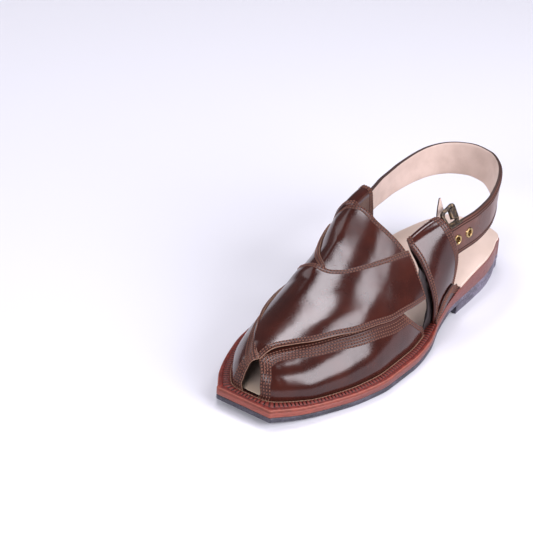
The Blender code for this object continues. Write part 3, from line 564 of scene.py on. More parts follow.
# Painted shade: on the ribbed half the colour falls to near black in the troughs between the ribs.
ribs = welt_leather.mark("rib").rise(0.35, 0.9)
ribbed_with_painted_shade = welt_leather.mix(ribs, (0.006, 0.002, 0.002), (0.15, 0.024, 0.017))
worn = welt_leather.mix(welt_leather.mark("wear") * 0.7, red, (0.38, 0.13, 0.085))
welt_leather.colour(inner_half, worn, ribbed_with_painted_shade)
welt_leather.roughness(0.36 + welt_leather.noise(1.5) * 0.3)
welt_leather.relief(welt_leather.noise(0.45, 3.0) * 0.1 + welt_leather.noise(2.5) * 0.15)

foot, foot_out = foot_line(0.0)
hidden = foot - foot_out * WELT_INSIDE
shown_foot = foot + foot_out * WALL
welt_edge = edge_ahead(foot, foot_out, WELT_TRIM)
ripple = np.abs(np.sin(math.pi * run_of(shown_foot) / RIB_PITCH)) ** RIB_ROUNDNESS
lines, wear, inner, rib = [], [], [], []
for share, rise, worn_here in WELT_PROFILE:
    ribbed_here = float(share < RIBBED_SHARE)
    swell = math.sin(math.pi * min(1.0, share / RIBBED_SHARE) * 0.92 + 0.12) ** 0.5 * ribbed_here
    flat = shown_foot + (welt_edge - shown_foot) * share
    lines.append(np.column_stack([flat, seat_height(flat[:, 1]) + rise + RIB_HEIGHT * ripple * swell]))
    wear.append(worn_here + 0 * ripple)
    inner.append(ribbed_here + 0 * ripple)
    rib.append(ripple)
for rise in (0.0, -WELT_THICK):
    lines.append(np.column_stack([hidden, seat_height(hidden[:, 1]) + rise]))
    wear.append(0.0 * ripple)
    inner.append(1.0 + 0 * ripple)
    rib.append(0.4 + 0 * ripple)
rings, count = len(foot), len(lines)
last = (rings - 1) * count
faces = wall_faces(rings, count) + [tuple(range(count)), tuple(range(last, last + count))]
marks = {"wear": wear, "inner_half": inner, "rib": rib}
marks = {name: np.stack(values, 1).ravel() for name, values in marks.items()}
points = np.stack(lines, 1).reshape(-1, 3)
welt = make_piece("welt_strip", points, faces, [welt_leather], marks=marks, bend=60)
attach(welt, "root")
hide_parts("welt")


# The feather line: the light cut edge of the lining, which is sewn down with the upper and shows all round
# the forefoot between the upper and the welt.
FEATHER_RADIUS, FEATHER_OUT, FEATHER_LIFT = 0.42, 0.15, 0.35
FEATHER_END_Y = 6.0


def tube(line, radius, sides=8):
    """Points and faces of a round cord along a line that is nowhere upright, closed at its ends."""
    way = unit(np.gradient(line, axis=0))
    side = unit(np.cross(way, (0.0, 0.0, 1.0)))
    top = np.cross(side, way)
    turn = np.linspace(0, 2 * math.pi, sides, endpoint=False)
    radius = np.broadcast_to(radius, len(line))
    spokes = np.cos(turn)[None, :, None] * side[:, None] + np.sin(turn)[None, :, None] * top[:, None]
    points = (line[:, None] + spokes * radius[:, None, None]).reshape(-1, 3)
    last = (len(line) - 1) * sides
    ends = [tuple(range(sides))[::-1], tuple(range(last, last + sides))]
    return points, wall_faces(len(line), sides) + ends


cut_edge = Finish("pale_cut_edge", {"Roughness": 0.7})
fibres = cut_edge.noise(0.8, 3.0, (1, 1, 0.4))
cut_edge.colour(fibres.rise(0.3, 0.75), (0.13, 0.055, 0.034), (0.34, 0.20, 0.13))
cut_edge.relief(fibres * 0.12)

seam = foot + foot_out * (WALL + FEATHER_OUT)
seam = seam[seam[:, 1] < FEATHER_END_Y]
seam = resample(np.column_stack([seam, seat_height(seam[:, 1]) + FEATHER_LIFT]), 0.9)
points, faces = tube(seam, FEATHER_RADIUS)
feather = make_piece("feather_line", points, faces, [cut_edge])
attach(feather, "root")


# The insole: a footbed of smooth matt beige leather over thin foam, laid inside the welt and trimmed flush
# with the sole's edge round the heel. Its toe end is painted much paler, as painted light that stands for
# the light falling in through the toe opening.
INSOLE_EDGE = 0.8
INSOLE_PROFILE = ((0.0, -WELT_THICK), (0.0, -0.5), (0.15, -0.15), (0.6, 0.0), (7.0, 0.05))
footbed = Finish("beige_footbed", {"Sheen Weight": 0.1})
cloud = footbed.noise(22.0, 2.0)
body = footbed.mix(cloud.rise(0.3, 0.7), (0.61, 0.475, 0.395), (0.67, 0.53, 0.45))
# Painted light: the footbed is coloured much paler towards its toe end, where the light falls in through the
# toe opening.
painted_toe_light = (0 - footbed.axis(1)).rise(118.0, 134.0)
footbed.colour(painted_toe_light, body, (0.95, 0.75, 0.57))
footbed.roughness(0.55 + footbed.noise(2.0) * 0.15)
footbed.relief(footbed.cells(0.7).rise(0.0, 0.25) * 0.05 + footbed.noise(6.0) * 0.12)

inside, _ = foot_line(WELT_INSIDE + 2 * GAP)
lateral_inside = inside[inside[:, 0] > 0][::-1]
medial_inside = inside[inside[:, 0] < 0]
front_y = max(lateral_inside[:, 1].min(), medial_inside[:, 1].min()) + GAP
narrow = front_y + (WELT_END_Y - front_y) * np.linspace(0, 1, 130) ** 1.4
lateral_line = np.column_stack([np.interp(narrow, lateral_inside[:, 1], lateral_inside[:, 0]), narrow])
medial_line = np.column_stack([np.interp(narrow, medial_inside[:, 1], medial_inside[:, 0]), narrow])
wide_l, wide_l_out = sole_side(lateral_edge, WELT_END_Y + 2 * GAP, 110)
wide_m, wide_m_out = sole_side(medial_edge, WELT_END_Y + 2 * GAP, 110)
wide_l_out[0] = (1.0, 0.0)
wide_m_out[0] = (-1.0, 0.0)
points = []
for inset, rise in INSOLE_PROFILE:
    lateral = np.vstack([lateral_line - (inset, 0), wide_l - wide_l_out * (INSOLE_EDGE + inset)])
    medial = np.vstack([medial_line + (inset, 0), wide_m - wide_m_out * (INSOLE_EDGE + inset)])
    ring = np.vstack([lateral, medial[::-1]])
    points.append(np.column_stack([ring, seat_height(ring[:, 1]) + rise]))
faces = layer_faces(len(INSOLE_PROFILE), len(ring))
insole = make_piece("insole_footbed", np.vstack(points), faces, [footbed])
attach(insole, "root")
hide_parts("insole")


# The rows of stitches: waxed light brown thread, machine-sewn in short stitches that dip into a needle
# hole at each end.
THREAD_RADIUS, STITCH_LENGTH, STITCH_GAP = 0.38, 2.3, 0.1
HOLE_RADIUS, HOLE_LIFT = 0.54, 0.06
STITCH_PROFILE = (
    # share of the stitch's length, lift and radius as shares of the thread's radius
    (0, -0.5, 0.4), (0.16, 0.12, 0.85), (0.5, 0.4, 1), (0.84, 0.12, 0.85), (1, -0.5, 0.4),
)

thread = Finish("brown_thread", {"Specular IOR Level": 0.3})
twist = thread.noise(0.5, 2.0)
thread.colour(twist, (0.13, 0.050, 0.033), (0.27, 0.12, 0.082))
thread.roughness(0.65 + twist * 0.2)
thread.relief(twist * 0.08)
# Painted shade: each needle hole is a near-black disc that stands for the shade inside the hole.
painted_hole_shade = Finish("painted_hole_shade", {"Roughness": 0.8})
painted_hole_shade.colour(painted_hole_shade.noise(1.0), (0.004, 0.002, 0.002), (0.012, 0.005, 0.004))


def stitches(name, rows, slot, length=STITCH_LENGTH, yarn=thread, sides=6):
    """All the stitches of some rows as one mesh, with a near-black disc of painted shade for the needle hole
    between each two.
    """
    turn = np.linspace(0, 2 * math.pi, sides, endpoint=False)[:, None]
    points, faces, parts = [], [], []
    for line, normals in rows:
        run = run_of(line)
        total = max(1, int(run[-1] / length))
        span = run[-1] / total

        def at(place):
            point, normal = (np.array([np.interp(place, run, part[:, i]) for i in range(3)])
                             for part in (line, normals))
            return point, unit(normal)

        for i in range(total):
            start, end = (i + STITCH_GAP) * span, (i + 1 - STITCH_GAP) * span
            way = unit(at(end)[0] - at(start)[0])
            added = wall_faces(len(STITCH_PROFILE), sides, base=len(points))
            faces += added
            parts += [0] * len(added)
            for share, lift, fat in STITCH_PROFILE:
                point, normal = at(start + (end - start) * share)
                spokes = np.cos(turn) * np.cross(way, normal) + np.sin(turn) * normal
                points += list(point + (normal * lift + spokes * fat) * THREAD_RADIUS)
            if i:
                point, normal = at(i * span)
                faces.append(tuple(range(len(points), len(points) + sides)))
                parts.append(1)
                spokes = np.cos(turn) * way + np.sin(turn) * np.cross(normal, way)
                points += list(point + normal * HOLE_LIFT + spokes * HOLE_RADIUS)
    piece = make_piece(name, points, faces, (yarn, painted_hole_shade), parts, closed=False, bend=80)
    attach(piece, "root")


# The lateral wing: polished chestnut leather lasted over the outer side of the forefoot. A band of stitch
# rows follows the vamp's edge on it, and more rows run along the toe opening and its rear edge.
LAP, JOIN = 1.5, 0.1
SLIT_LIFT, SLIT_DIP = 2.4, 0.9
SLIT_TOE_Y, SLIT_TOE_RUN, SLIT_REAR_Y, SLIT_REAR_RUN = -124.0, 12.0, -26.0, 60.0
ROW_PITCH = 1.9
NO_HEM = -50.0
NORMAL_SHARES, NORMAL_ROWS = (0.02, 0.98), (-134.2, 64.0)
ROLL_WIDTH, ROLL_OUTER, ROLL_INNER = 0.8, 0.45, 0.3
EDGE_SWELL = ((0.22, 0.22), (0.5, 0.32), (0.78, 0.22))
TOE_PEAK = (-125.4, 0.49)
TOE_OPENING_LATERAL = (
    (-134.35, 0), (-134.2, 0.1), (-133.7, 0.302), (-131.7, 0.382), (-128.4, 0.443), TOE_PEAK,
)
VAMP_LOWER_EDGE = (
    TOE_PEAK, (-113, 0.45), (-102, 0.388), (-91, 0.33), (-78, 0.287), (-64.5, 0.245),
    (-48, 0.208), (-29, 0.167), (-19.5, 0.157), (0, 0.128), (10, 0.115),
)
LATERAL_WING_REAR_EDGE = ((5, 0), (4, 0.027), (-4, 0.068), (-13.5, 0.12), (-22, 0.19))


def curve_through(points):
    """A smooth curve through points of any number of dimensions, read by the share of its length."""
    points = np.asarray(points, float)
    chord = run_of(points)
    parts = [monotone(chord / chord[-1], points[:, i]) for i in range(points.shape[1])]
    return lambda where: np.stack([part(where) for part in parts], -1)


def last_point(y, share):
    """A point on the last, at a share of the way over it from the lateral to the medial feather line."""
    y, share = np.broadcast_arrays(np.asarray(y, float), np.asarray(share, float))
    cos, sin = np.cos(math.pi * share), np.sin(math.pi * share)
    outer = cos >= 0
    power = np.where(outer, LAST["lateral_power"](y), LAST["medial_power"](y))
    crest_x, base = LAST["crest_x"](y), seat_height(y) + GAP
    reach = np.where(outer, LAST["lateral"](y) - crest_x, crest_x - LAST["medial"](y))
    x = crest_x + np.sign(cos) * reach * np.abs(cos) ** (2 / power)
    z = base + (LAST["crest_z"](y) - base) * np.abs(sin) ** (2 / power)
    return np.stack([x, y, z], -1)


def last_normal(y, share):
    """Outward direction of the last, level where the leather turns down to the seat."""
    near, ahead = np.clip(share, *NORMAL_SHARES), np.clip(y, *NORMAL_ROWS)
    dy, ds = 0.4, 0.004
    along_foot = last_point(ahead + dy, near) - last_point(ahead - dy, near)
    over_foot = last_point(ahead, near + ds) - last_point(ahead, near - ds)
    normal = np.cross(along_foot, over_foot)
    centre = np.stack([LAST["crest_x"](ahead), ahead, seat_height(ahead)], -1)
    return unit(normal * np.sign((normal * (last_point(ahead, near) - centre)).sum(-1))[..., None])


def spread(count, crowd=0.55):
    """Shares from 0 to 1 that crowd together at both ends."""
    even = np.linspace(0, 1, count)
    return even + crowd * ((1 - np.cos(math.pi * even)) / 2 - even)


def coons(bottom, top, left, right, across, up):
    """A patch between four edge curves; bottom and top run the same way, left and right run up."""
    wide, high = spread(across), spread(up)
    b, t = curve_through(bottom)(wide), curve_through(top)(wide)
    l, r = curve_through(left)(high), curve_through(right)(high)
    w, k = wide[:, None, None], high[None, :, None]
    flat = (1 - k) * b[:, None] + k * t[:, None] + (1 - w) * l[None] + w * r[None]
    corners = (1 - w) * (1 - k) * b[0] + w * (1 - k) * b[-1] + (1 - w) * k * t[0] + w * k * t[-1]
    return flat - corners, w[..., 0] + 0 * k[..., 0], k[..., 0] + 0 * w[..., 0]


def shifted(edge, share):
    """A panel edge moved over the foot, for the part that lies under its neighbour."""
    return tuple((y, s + share) for y, s in edge)


class Hide:
    """A cut sheet of leather: an outer face, a lining and a rounded cut edge, shown as one piece."""

    def __init__(self, name, middle, normal, low, high, finishes, open_at=None):
        self.name, self.normal, self.finishes, self.open_at = name, normal, finishes, open_at
        shape = middle.shape[:2]
        self.outer = middle + normal * np.broadcast_to(high, shape)[..., None]
        self.inner = middle + normal * np.broadcast_to(low, shape)[..., None]
        rim = self.ring()
        rolled = np.exp(-(self.reach([self.outer[place] for place in rim + rim[:1]]) / ROLL_WIDTH) ** 2)
        self.outer -= normal * (ROLL_OUTER * rolled)[..., None]
        self.inner += normal * (ROLL_INNER * rolled)[..., None]
        self.hem = np.full(shape, NO_HEM)
        self.rows = []

    def ring(self):
        """The grid places round the sheet's edge."""
        across, up = self.outer.shape[:2]
        ring = [(i, 0) for i in range(across)] + [(across - 1, j) for j in range(1, up)]
        ring += [(i, up - 1) for i in range(across - 2, -1, -1)] + [(0, j) for j in range(up - 2, 0, -1)]
        return ring

    def side(self, name):
        outer = self.outer
        return {"bottom": outer[:, 0], "top": outer[:, -1], "left": outer[0], "right": outer[-1]}[name]

    def reach(self, line):
        """How far each point of the outer face is from a line."""
        fine = resample(line, 0.35)
        tree = KDTree(len(fine))
        for i, point in enumerate(fine):
            tree.insert(point, i)
        tree.balance()
        flat = self.outer.reshape(-1, 3)
        return np.array([tree.find(point)[2] for point in flat]).reshape(self.outer.shape[:2])

    def row_at(self, reach, level, by):
        """Points and normals of the line where a reach has a level, read column by column."""
        points, normals = [], []
        for i in range(reach.shape[by]):
            r, p, n = [np.take(part, i, axis=by) for part in (reach, self.outer, self.normal)]
            turns = np.nonzero((r[:-1] - level) * (r[1:] - level) < 0)[0]
            if len(turns):
                j = turns[0]
                t = (level - r[j]) / (r[j + 1] - r[j])
                points.append(p[j] * (1 - t) + p[j + 1] * t)
                normals.append(n[j] * (1 - t) + n[j + 1] * t)
        return points, normals

    def sew(self, edge, rows, first=0.5, pitch=ROW_PITCH, reach=None, by=None):
        """Sinks rows of stitches beside an edge, or beside what a reach is measured from."""
        reach = self.reach(self.side(edge)) if reach is None else reach
        by = (0 if edge in ("bottom", "top") else 1) if by is None else by
        self.hem = np.maximum(self.hem, ((rows - 0.5 + first) * pitch - reach) / pitch)
        for i in range(rows):
            points, normals = self.row_at(reach, (first + i) * pitch, by)
            if len(points) > 3:
                self.rows.append((np.array(points), np.array(normals)))

    def show(self):
        """The sheet as a piece: its outer face, its lining and its swelling cut edge, each in its finish."""
        across, up = self.outer.shape[:2]
        count = across * up
        cells = np.array([(i, j) for i in range(across - 1) for j in range(up - 1)])
        if self.open_at is not None:
            corner = self.outer[cells[:, 0], cells[:, 1]]
            clear = np.min([np.linalg.norm(corner - place, axis=1) for place in self.open_at[0]], axis=0)
            cells = cells[clear > self.open_at[1]]
        a = cells[:, 0] * up + cells[:, 1]
        outer = np.stack([a, a + 1, a + up + 1, a + up], -1)
        faces = np.vstack([outer, outer[:, ::-1] + count])
        parts = [0] * len(outer) + [1] * len(outer)
        ring = np.array(self.ring())
        i, j = ring.T
        index = i * up + j
        rim_outer, rim_inner = self.outer[i, j], self.inner[i, j]
        away = rim_outer - self.outer[i.clip(1, across - 2), j.clip(1, up - 2)]
        away /= np.maximum(np.linalg.norm(away, axis=1), 1e-6)[:, None]
        swell = [rim_outer * (1 - t) + rim_inner * t + away * out for t, out in EDGE_SWELL]
        points = np.vstack([self.outer.reshape(-1, 3), self.inner.reshape(-1, 3)] + swell)
        bands = [index] + [2 * count + len(ring) * k + np.arange(len(ring)) for k in range(3)]
        bands.append(index + count)
        edge_faces = []
        for upper, lower in zip(bands, bands[1:]):
            edge_faces += list(zip(upper, np.roll(upper, -1), np.roll(lower, -1), lower))
        parts += [2] * len(edge_faces)
        hem = np.concatenate([self.hem.ravel(), np.full(count + 3 * len(ring), NO_HEM)])
        return make_piece(self.name, points, [tuple(f) for f in faces] + edge_faces, self.finishes, parts,
                          {"hem": hem}, bend=60)


def waves(points, height=0.05):
    """The slight unevenness of hand-lasted leather."""
    x, y, z = points[..., 0], points[..., 1], points[..., 2]
    broad = np.sin(0.19 * y + 0.12 * x + 0.8) * np.sin(0.16 * z - 0.1 * y + 1.3 + 0.05 * x)
    fine = np.sin(0.53 * y - 0.31 * z + 0.2) * np.sin(0.47 * x + 0.22 * y)
    return height * (broad + 0.3 * fine)


def panel(name, bottom, top, left, right, across, up, offset, finishes):
    """One leather panel on the last, raised by the panels that it laps over."""
    places, w, k = coons(bottom, top, left, right, across, up)
    share = np.clip(places[..., 1], 0.0, 1.0)
    middle, normal = last_point(places[..., 0], share), last_normal(places[..., 0], share)
    low = offset(places[..., 0], share, w, k)
    hide = Hide(name, middle, normal, low, low + WALL + waves(middle), finishes)
    hide.places = np.stack([places[..., 0], share], -1)
    return hide


def slit_reach(y):
    """How far the slit under the vamp's lower edge is open: closed at the toe and at the side opening."""
    return smoothstep((y - SLIT_TOE_Y) / SLIT_TOE_RUN) * smoothstep((SLIT_REAR_Y - y) / SLIT_REAR_RUN)


def polished(name, dark, light, gloss):
    """Brush-off leather: a dark polished top coat that lets a redder brown through, sunk at the seams with
    painted shade darkening the rows.
    """
    finish = Finish(name, {"IOR": 1.5})
    hem = finish.mark("hem")
    sewn = hem.rise(0.0, 0.15)
    row = hem.math("FRACT", hem).near(0.5, 0.3) * sewn
    clouds = finish.noise(24.0, 2.0).rise(0.3, 0.7) * 0.8 + finish.noise(3.0, 3.0).rise(0.4, 0.8) * 0.2
    body = finish.mix(clouds, dark, light)
    body = finish.mix(sewn * 0.18, body, tuple(c * 1.8 for c in light))
    # Painted shade: the sunk stitch rows are coloured at 0.3 of the dark tone.
    finish.colour(row * 0.7, body, tuple(c * 0.3 for c in dark))
    grain = finish.cells(0.55).rise(0.0, 0.22)
    finish.roughness(gloss + finish.noise(7.0, 2.0) * 0.05 + sewn * 0.16 + row * 0.3)
    finish.relief(grain * 0.004 + finish.noise(1.3, 2.0) * 0.010 - row * 0.7)
    return finish


upper_leather = polished("polished_chestnut", (0.029, 0.0062, 0.0042), (0.050, 0.0108, 0.0066), 0.13)
lining = Finish("brown_lining", {})
lining.colour(lining.noise(8.0).rise(0.3, 0.7), (0.022, 0.012, 0.010), (0.05, 0.026, 0.020))
lining.roughness(0.6 + lining.noise(1.5) * 0.2)
lining.relief(lining.cells(0.6).rise(0.0, 0.3) * 0.04)
UPPER_FINISHES = (upper_leather, lining, cut_edge)


def put_on(hide, name, hems=(), node="upper", slot="upper_leather", pitch=ROW_PITCH, **stitching):
    """Sews the hems of a hide, each an edge, its rows and the first one's place, and shows hide and rows."""
    for hem in hems:
        hide.sew(*hem, pitch)
    piece = hide.show()
    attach(piece, "root")
    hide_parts(node)
    if hide.rows:
        stitches(name + "_stitches", hide.rows, slot, **stitching)


def lateral_wing_offset(y, s, w, k):
    return -SLIT_DIP * smoothstep((k - 0.55) / 0.35) * slit_reach(y)


lateral_wing = panel(
    "lateral_wing",
    ((-134.35, 0), (-125, 0), (-100, 0), (-60, 0), (-20, 0), (5, 0)),
    (TOE_PEAK,) + shifted(VAMP_LOWER_EDGE[1:8], 0.035) + LATERAL_WING_REAR_EDGE[-1:],
    TOE_OPENING_LATERAL, LATERAL_WING_REAR_EDGE, 210, 76, lateral_wing_offset, UPPER_FINISHES,
)
edge_line = curve_through(VAMP_LOWER_EDGE)(np.linspace(0, 1, 300))
outside = np.sign(np.interp(lateral_wing.places[..., 0], edge_line[:, 0], edge_line[:, 1])
                  - lateral_wing.places[..., 1])
from_vamp = lateral_wing.reach(last_point(edge_line[:, 0], edge_line[:, 1])) * outside
lateral_wing.sew(None, 5, 0.75, reach=from_vamp, by=0)
put_on(lateral_wing, "lateral_wing", (("left", 4, 0.6), ("right", 2, 0.7)))


# The vamp: the crossing strap of the upper, which runs from the toe over the instep. Its free lower edge
# stands a little off the lateral wing and leaves a slit. Two rows hem its long edges and one its rear end.
LAP_START_Y, LAP_LATERAL, LAP_MEDIAL = -52.0, 0.46, 0.8
VAMP_REAR_EDGE = ((10, 0.115), (10, 0.17), (11, 0.22), (12, 0.268))
VAMP_TOP_HEM = (
    (-19, 0.865), (-24, 0.81), (-29.5, 0.75), (-34.5, 0.69), (-37, 0.64), (-38.2, 0.587),
    (-39.5, 0.49), (-36.5, 0.44), (-29.5, 0.4), (-20.5, 0.366), (-7, 0.32), (4, 0.288), (12, 0.268),
)
MEDIAL_WING_INNER_EDGE = (
    TOE_PEAK, (-120, 0.541), (-110, 0.592), (-99.5, 0.642), (-88.5, 0.687), (-78, 0.722),
    (-63, 0.763), (-45, 0.8), (-30, 0.828), (-20, 0.845),
)


def vamp_offset(y, s, w, k):
    """Stands off the wing along the slit, and climbs over the tongue and the quarter behind."""
    slit = slit_reach(y) * smoothstep(1 - 2.0 * k)
    behind = smoothstep((y - LAP_START_Y) / 10)
    between = smoothstep((s - LAP_LATERAL) / 0.08) * smoothstep((LAP_MEDIAL - s) / 0.12)
    return LAP + SLIT_LIFT * slit + (LAP - JOIN) * behind * between


vamp_tip = (TOE_PEAK[0] + 0.6, TOE_PEAK[1] + 0.002)
vamp = panel(
    "vamp", (vamp_tip,) + VAMP_LOWER_EDGE[1:], VAMP_TOP_HEM,
    (vamp_tip,) + shifted(MEDIAL_WING_INNER_EDGE[1:-1], 0.03) + VAMP_TOP_HEM[:1],
    VAMP_REAR_EDGE, 190, 120, vamp_offset, UPPER_FINISHES,
)
put_on(vamp, "vamp", (("bottom", 2, 0.65), ("top", 2, 0.65), ("right", 1, 0.7)))


# The medial wing: the same leather over the inner side of the forefoot, lapped over the vamp. Five rows of
# stitches follow its lapped edge, four the toe opening and two its rear edge.
TOE_OPENING_MEDIAL = (
    (-134.35, 1), (-134.2, 0.86), (-133.6, 0.665), (-132.5, 0.623), (-130.4, 0.577), (-127.5, 0.525),
    TOE_PEAK,
)
MEDIAL_WING_REAR_EDGE = ((5, 1), (3, 0.97), (-4, 0.93), (-13, 0.88), (-20, 0.845))


def medial_wing_offset(y, s, w, k):
    return (2 * LAP - JOIN) * smoothstep((k - 0.35) / 0.5)


medial_wing = panel(
    "medial_wing",
    ((-134.35, 1), (-125, 1), (-100, 1), (-60, 1), (-20, 1), (5, 1)),
    MEDIAL_WING_INNER_EDGE, TOE_OPENING_MEDIAL, MEDIAL_WING_REAR_EDGE, 210, 80, medial_wing_offset,
    UPPER_FINISHES,
)
put_on(medial_wing, "medial_wing", (("top", 5, 0.65), ("left", 4, 0.6), ("right", 2, 0.7)))


# The tongue: a leather panel under the vamp that stands up over the instep, turned over at its top edge
# and sewn with two rows.
TONGUE_INNER_EDGE = (
    (-42, 0.47), (-36.5, 0.495), (-33, 0.545), (-26.9, 0.604), (-13.1, 0.689), (-2.5, 0.733),
    (9, 0.755),
)
TONGUE_TOP_EDGE = (
    (9.5, 0.79), (11.5, 0.68), (11.5, 0.565), (12.5, 0.49), (11, 0.44), (9.5, 0.39), (9.8, 0.348),
    (10.6, 0.305), (11, 0.262),
)
tongue = panel(
    "tongue",
    ((-48, 0.54), (-48, 0.48), (-43, 0.42), (-33, 0.37), (-20, 0.33), (-8, 0.29), (2, 0.262)),
    TONGUE_TOP_EDGE,
    ((-48, 0.54), (-36, 0.59), (-24, 0.66), (-12, 0.725), (0, 0.765), (9.5, 0.79)),
    ((2, 0.262), (6, 0.258), (11, 0.262)), 110, 90, lambda y, s, w, k: 0 * y, UPPER_FINISHES,
)
put_on(tongue, "tongue", (("top", 2, 0.6),))


# The quarter: a smooth panel over the inner side of the instep. It laps over the tongue with a hem of two
# rows, and the crossing strap of the vamp laps over it in turn.
def quarter_offset(y, s, w, k):
    return LAP * smoothstep((k - 0.35) / 0.3)


quarter = panel(
    "quarter",
    ((-28, 0.87), (-16, 0.86), (-6, 0.865), (6, 0.88), (17, 0.905)),
    TONGUE_INNER_EDGE,
    ((-28, 0.87), (-36, 0.76), (-41, 0.66), (-44, 0.56), (-42, 0.47)),
    ((17, 0.905), (15, 0.85), (12, 0.8), (9, 0.755)), 100, 84, quarter_offset, UPPER_FINISHES,
)
put_on(quarter, "quarter", (("top", 2, 0.65), ("right", 2, 0.65)))


# The two root straps: near-black inner straps that carry the crossing straps down to the seat beside each
# side opening. Their rough leather is wrinkled where the straps pull on it. Their near-black colour is
# partly painted shade for the dark gaps beside the side openings, and the wrinkles' troughs are painted
# darker as shade.
ROOT_EDGES = (
    # y and share over the foot: at the seat, at the head, along the side opening, at the rear
    ((6, 0), (14, 0), (23, 0)),
    ((5, 0.15), (9, 0.17), (15, 0.2)),
    ((6, 0), (10.5, 0.03), (14.5, 0.05), (15.5, 0.078), (11, 0.12), (5, 0.15)),
    ((23, 0), (22.5, 0.06), (20.5, 0.12), (15, 0.2)),
)
root_leather_and_painted_shade = Finish("dark_root_leather_and_painted_shade", {"IOR": 1.45})
wrinkle = root_leather_and_painted_shade.noise(3.0, 3.0, (1.0, 1.0, 1.8))
# Partly painted shade: the near-black colour also stands for the shade in the gaps and inside the band
# loops, and it is darker still in the wrinkles' troughs.
root_leather_and_painted_shade.colour(wrinkle, (0.006, 0.004, 0.005), (0.035, 0.022, 0.022))
root_leather_and_painted_shade.roughness(0.4 + wrinkle * 0.3)
root_leather_and_painted_shade.relief(wrinkle * 0.7 + root_leather_and_painted_shade.noise(0.6, 2.0) * 0.08)


def lateral_root_offset(y, s, w, k):
    return JOIN - (WALL + GAP) * smoothstep((0.8 - k) / 0.4)


def medial_root_offset(y, s, w, k):
    return JOIN - LAP + 0 * y


for side, offset in (("lateral", lateral_root_offset), ("medial", medial_root_offset)):
    edges = [[(y, 1 - s if side == "medial" else s) for y, s in edge] for edge in ROOT_EDGES]
    name = side + "_root"
    put_on(panel(name, *edges, 26, 40, offset, (root_leather_and_painted_shade,) * 3), name)


# The two side bands: wide loops of the same polished leather, folded over the ends of the back strap, with
# both leaves sewn down to the seat. Two rows hem their front edges and three their rear ones.
BAND_THICK = 2.2
BAND_SIDE_CROWN, BAND_FOLD_CROWN, BAND_FOLD_SHARE, BAND_FOLD_SPREAD = 1.2, 1.5, 0.56, 0.12
LATERAL_BAND_FRONT = (
    (46.6, 19.6, 13.6), (46.9, 18.9, 22), (46.2, 18.7, 30), (44.4, 17.9, 38), (41.7, 17.1, 46),
    (37.5, 16.4, 54.6), (32.5, 15.7, 62.7), (27.9, 14.6, 68.4), (24.6, 13.8, 71.8), (21.8, 15.6, 73.6),
    (19.4, 19, 71.4), (20.8, 22, 64), (26.4, 25, 52), (33.2, 27, 36), (39.4, 28.5, 16.2),
)
LATERAL_BAND_REAR = (
    (37.6, 57, 20.6), (38.6, 56, 27), (40.2, 54.8, 36), (41.8, 53.2, 46), (42.6, 51.6, 55),
    (42, 49.6, 63), (40.4, 47.2, 71), (37.6, 45, 78), (34, 43.8, 82.2), (29.6, 43.6, 83.6),
    (25.2, 45, 80.4), (22.6, 48, 70), (25.2, 52, 56), (29.8, 56, 38), (34, 58.6, 22.6),
)
MEDIAL_BAND_FRONT = (
    (-44.6, 19.6, 13.6), (-45.2, 19, 24), (-45.2, 18.4, 34), (-44.6, 17.8, 45),
    (-43.4, 17, 55), (-41.6, 16.2, 64), (-39, 15.2, 72.5), (-35.6, 14.4, 79),
    (-31.6, 14.6, 83.6), (-28.4, 17, 84), (-27.4, 21, 80), (-29.6, 24, 68),
    (-33, 26, 54), (-36.2, 27.4, 36), (-38.6, 28.6, 16.2),
)
MEDIAL_BAND_REAR = (
    (-38.6, 64, 21.4), (-40.6, 63.4, 30), (-42.4, 62.2, 39), (-43.8, 60.2, 48),
    (-44.4, 57.6, 57), (-44, 54.4, 66), (-42.2, 51.2, 74), (-39.6, 48.6, 80),
    (-36.4, 47.2, 83.8), (-33, 46.8, 83.8), (-30.6, 47.4, 79.6), (-30.4, 49.4, 68),
    (-31.4, 52.6, 54), (-33.4, 56.4, 38), (-34.6, 60, 23),
)


def band_middle(front_rail, rear_rail, outward, across, up):
    """Middle of a loop's leather, at shares from its front edge to its rear one and over its fold."""
    front, rear = curve_through(front_rail)(up), curve_through(rear_rail)(up)
    place = (1 - across)[..., None] * front + across[..., None] * rear
    crown = (4 * across * (1 - across)).clip(0)
    place[..., 0] += outward * BAND_SIDE_CROWN * crown * np.sin(2 * math.pi * up).clip(0)
    place[..., 2] += BAND_FOLD_CROWN * crown * np.exp(-((up - BAND_FOLD_SHARE) / BAND_FOLD_SPREAD) ** 2)
    return place


def grid_normal(grid, level_rows, outward):
    """Normals of a grid of points, laid level in the rows that stand on the sole."""
    normal = np.cross(np.gradient(grid, axis=0), np.gradient(grid, axis=1))
    for row in level_rows:
        normal[:, row, 2] = 0
    normal = unit(normal)
    middle = normal[normal.shape[0] // 2, normal.shape[1] // 4]
    return normal * math.copysign(1, middle[0] * outward)


band_leather = polished("polished_band_leather", (0.029, 0.0062, 0.0046), (0.052, 0.0112, 0.0074), 0.14)


def band(name, front_rail, rear_rail, outward):
    across, up = np.meshgrid(spread(56), np.linspace(0, 1, 190), indexing="ij")
    grid = band_middle(front_rail, rear_rail, outward, across, up)
    for row in (0, -1):
        grid[:, row, 2] = seat_height(grid[:, row, 1]) + GAP
    normal = grid_normal(grid, (0, -1), outward)
    # Painted shade: the loop's inner face takes the near-black root leather, for the shade inside the loop.
    half, finishes = BAND_THICK / 2, (band_leather, root_leather_and_painted_shade, band_leather)
    loop = Hide(name + "_loop", grid, normal, -half, half + waves(grid, 0.06), finishes)
    put_on(loop, name, (("left", 2, 0.75), ("right", 3, 0.75)), name)


band("lateral_band", LATERAL_BAND_FRONT, LATERAL_BAND_REAR, 1.0)
band("medial_band", MEDIAL_BAND_FRONT, MEDIAL_BAND_REAR, -1.0)


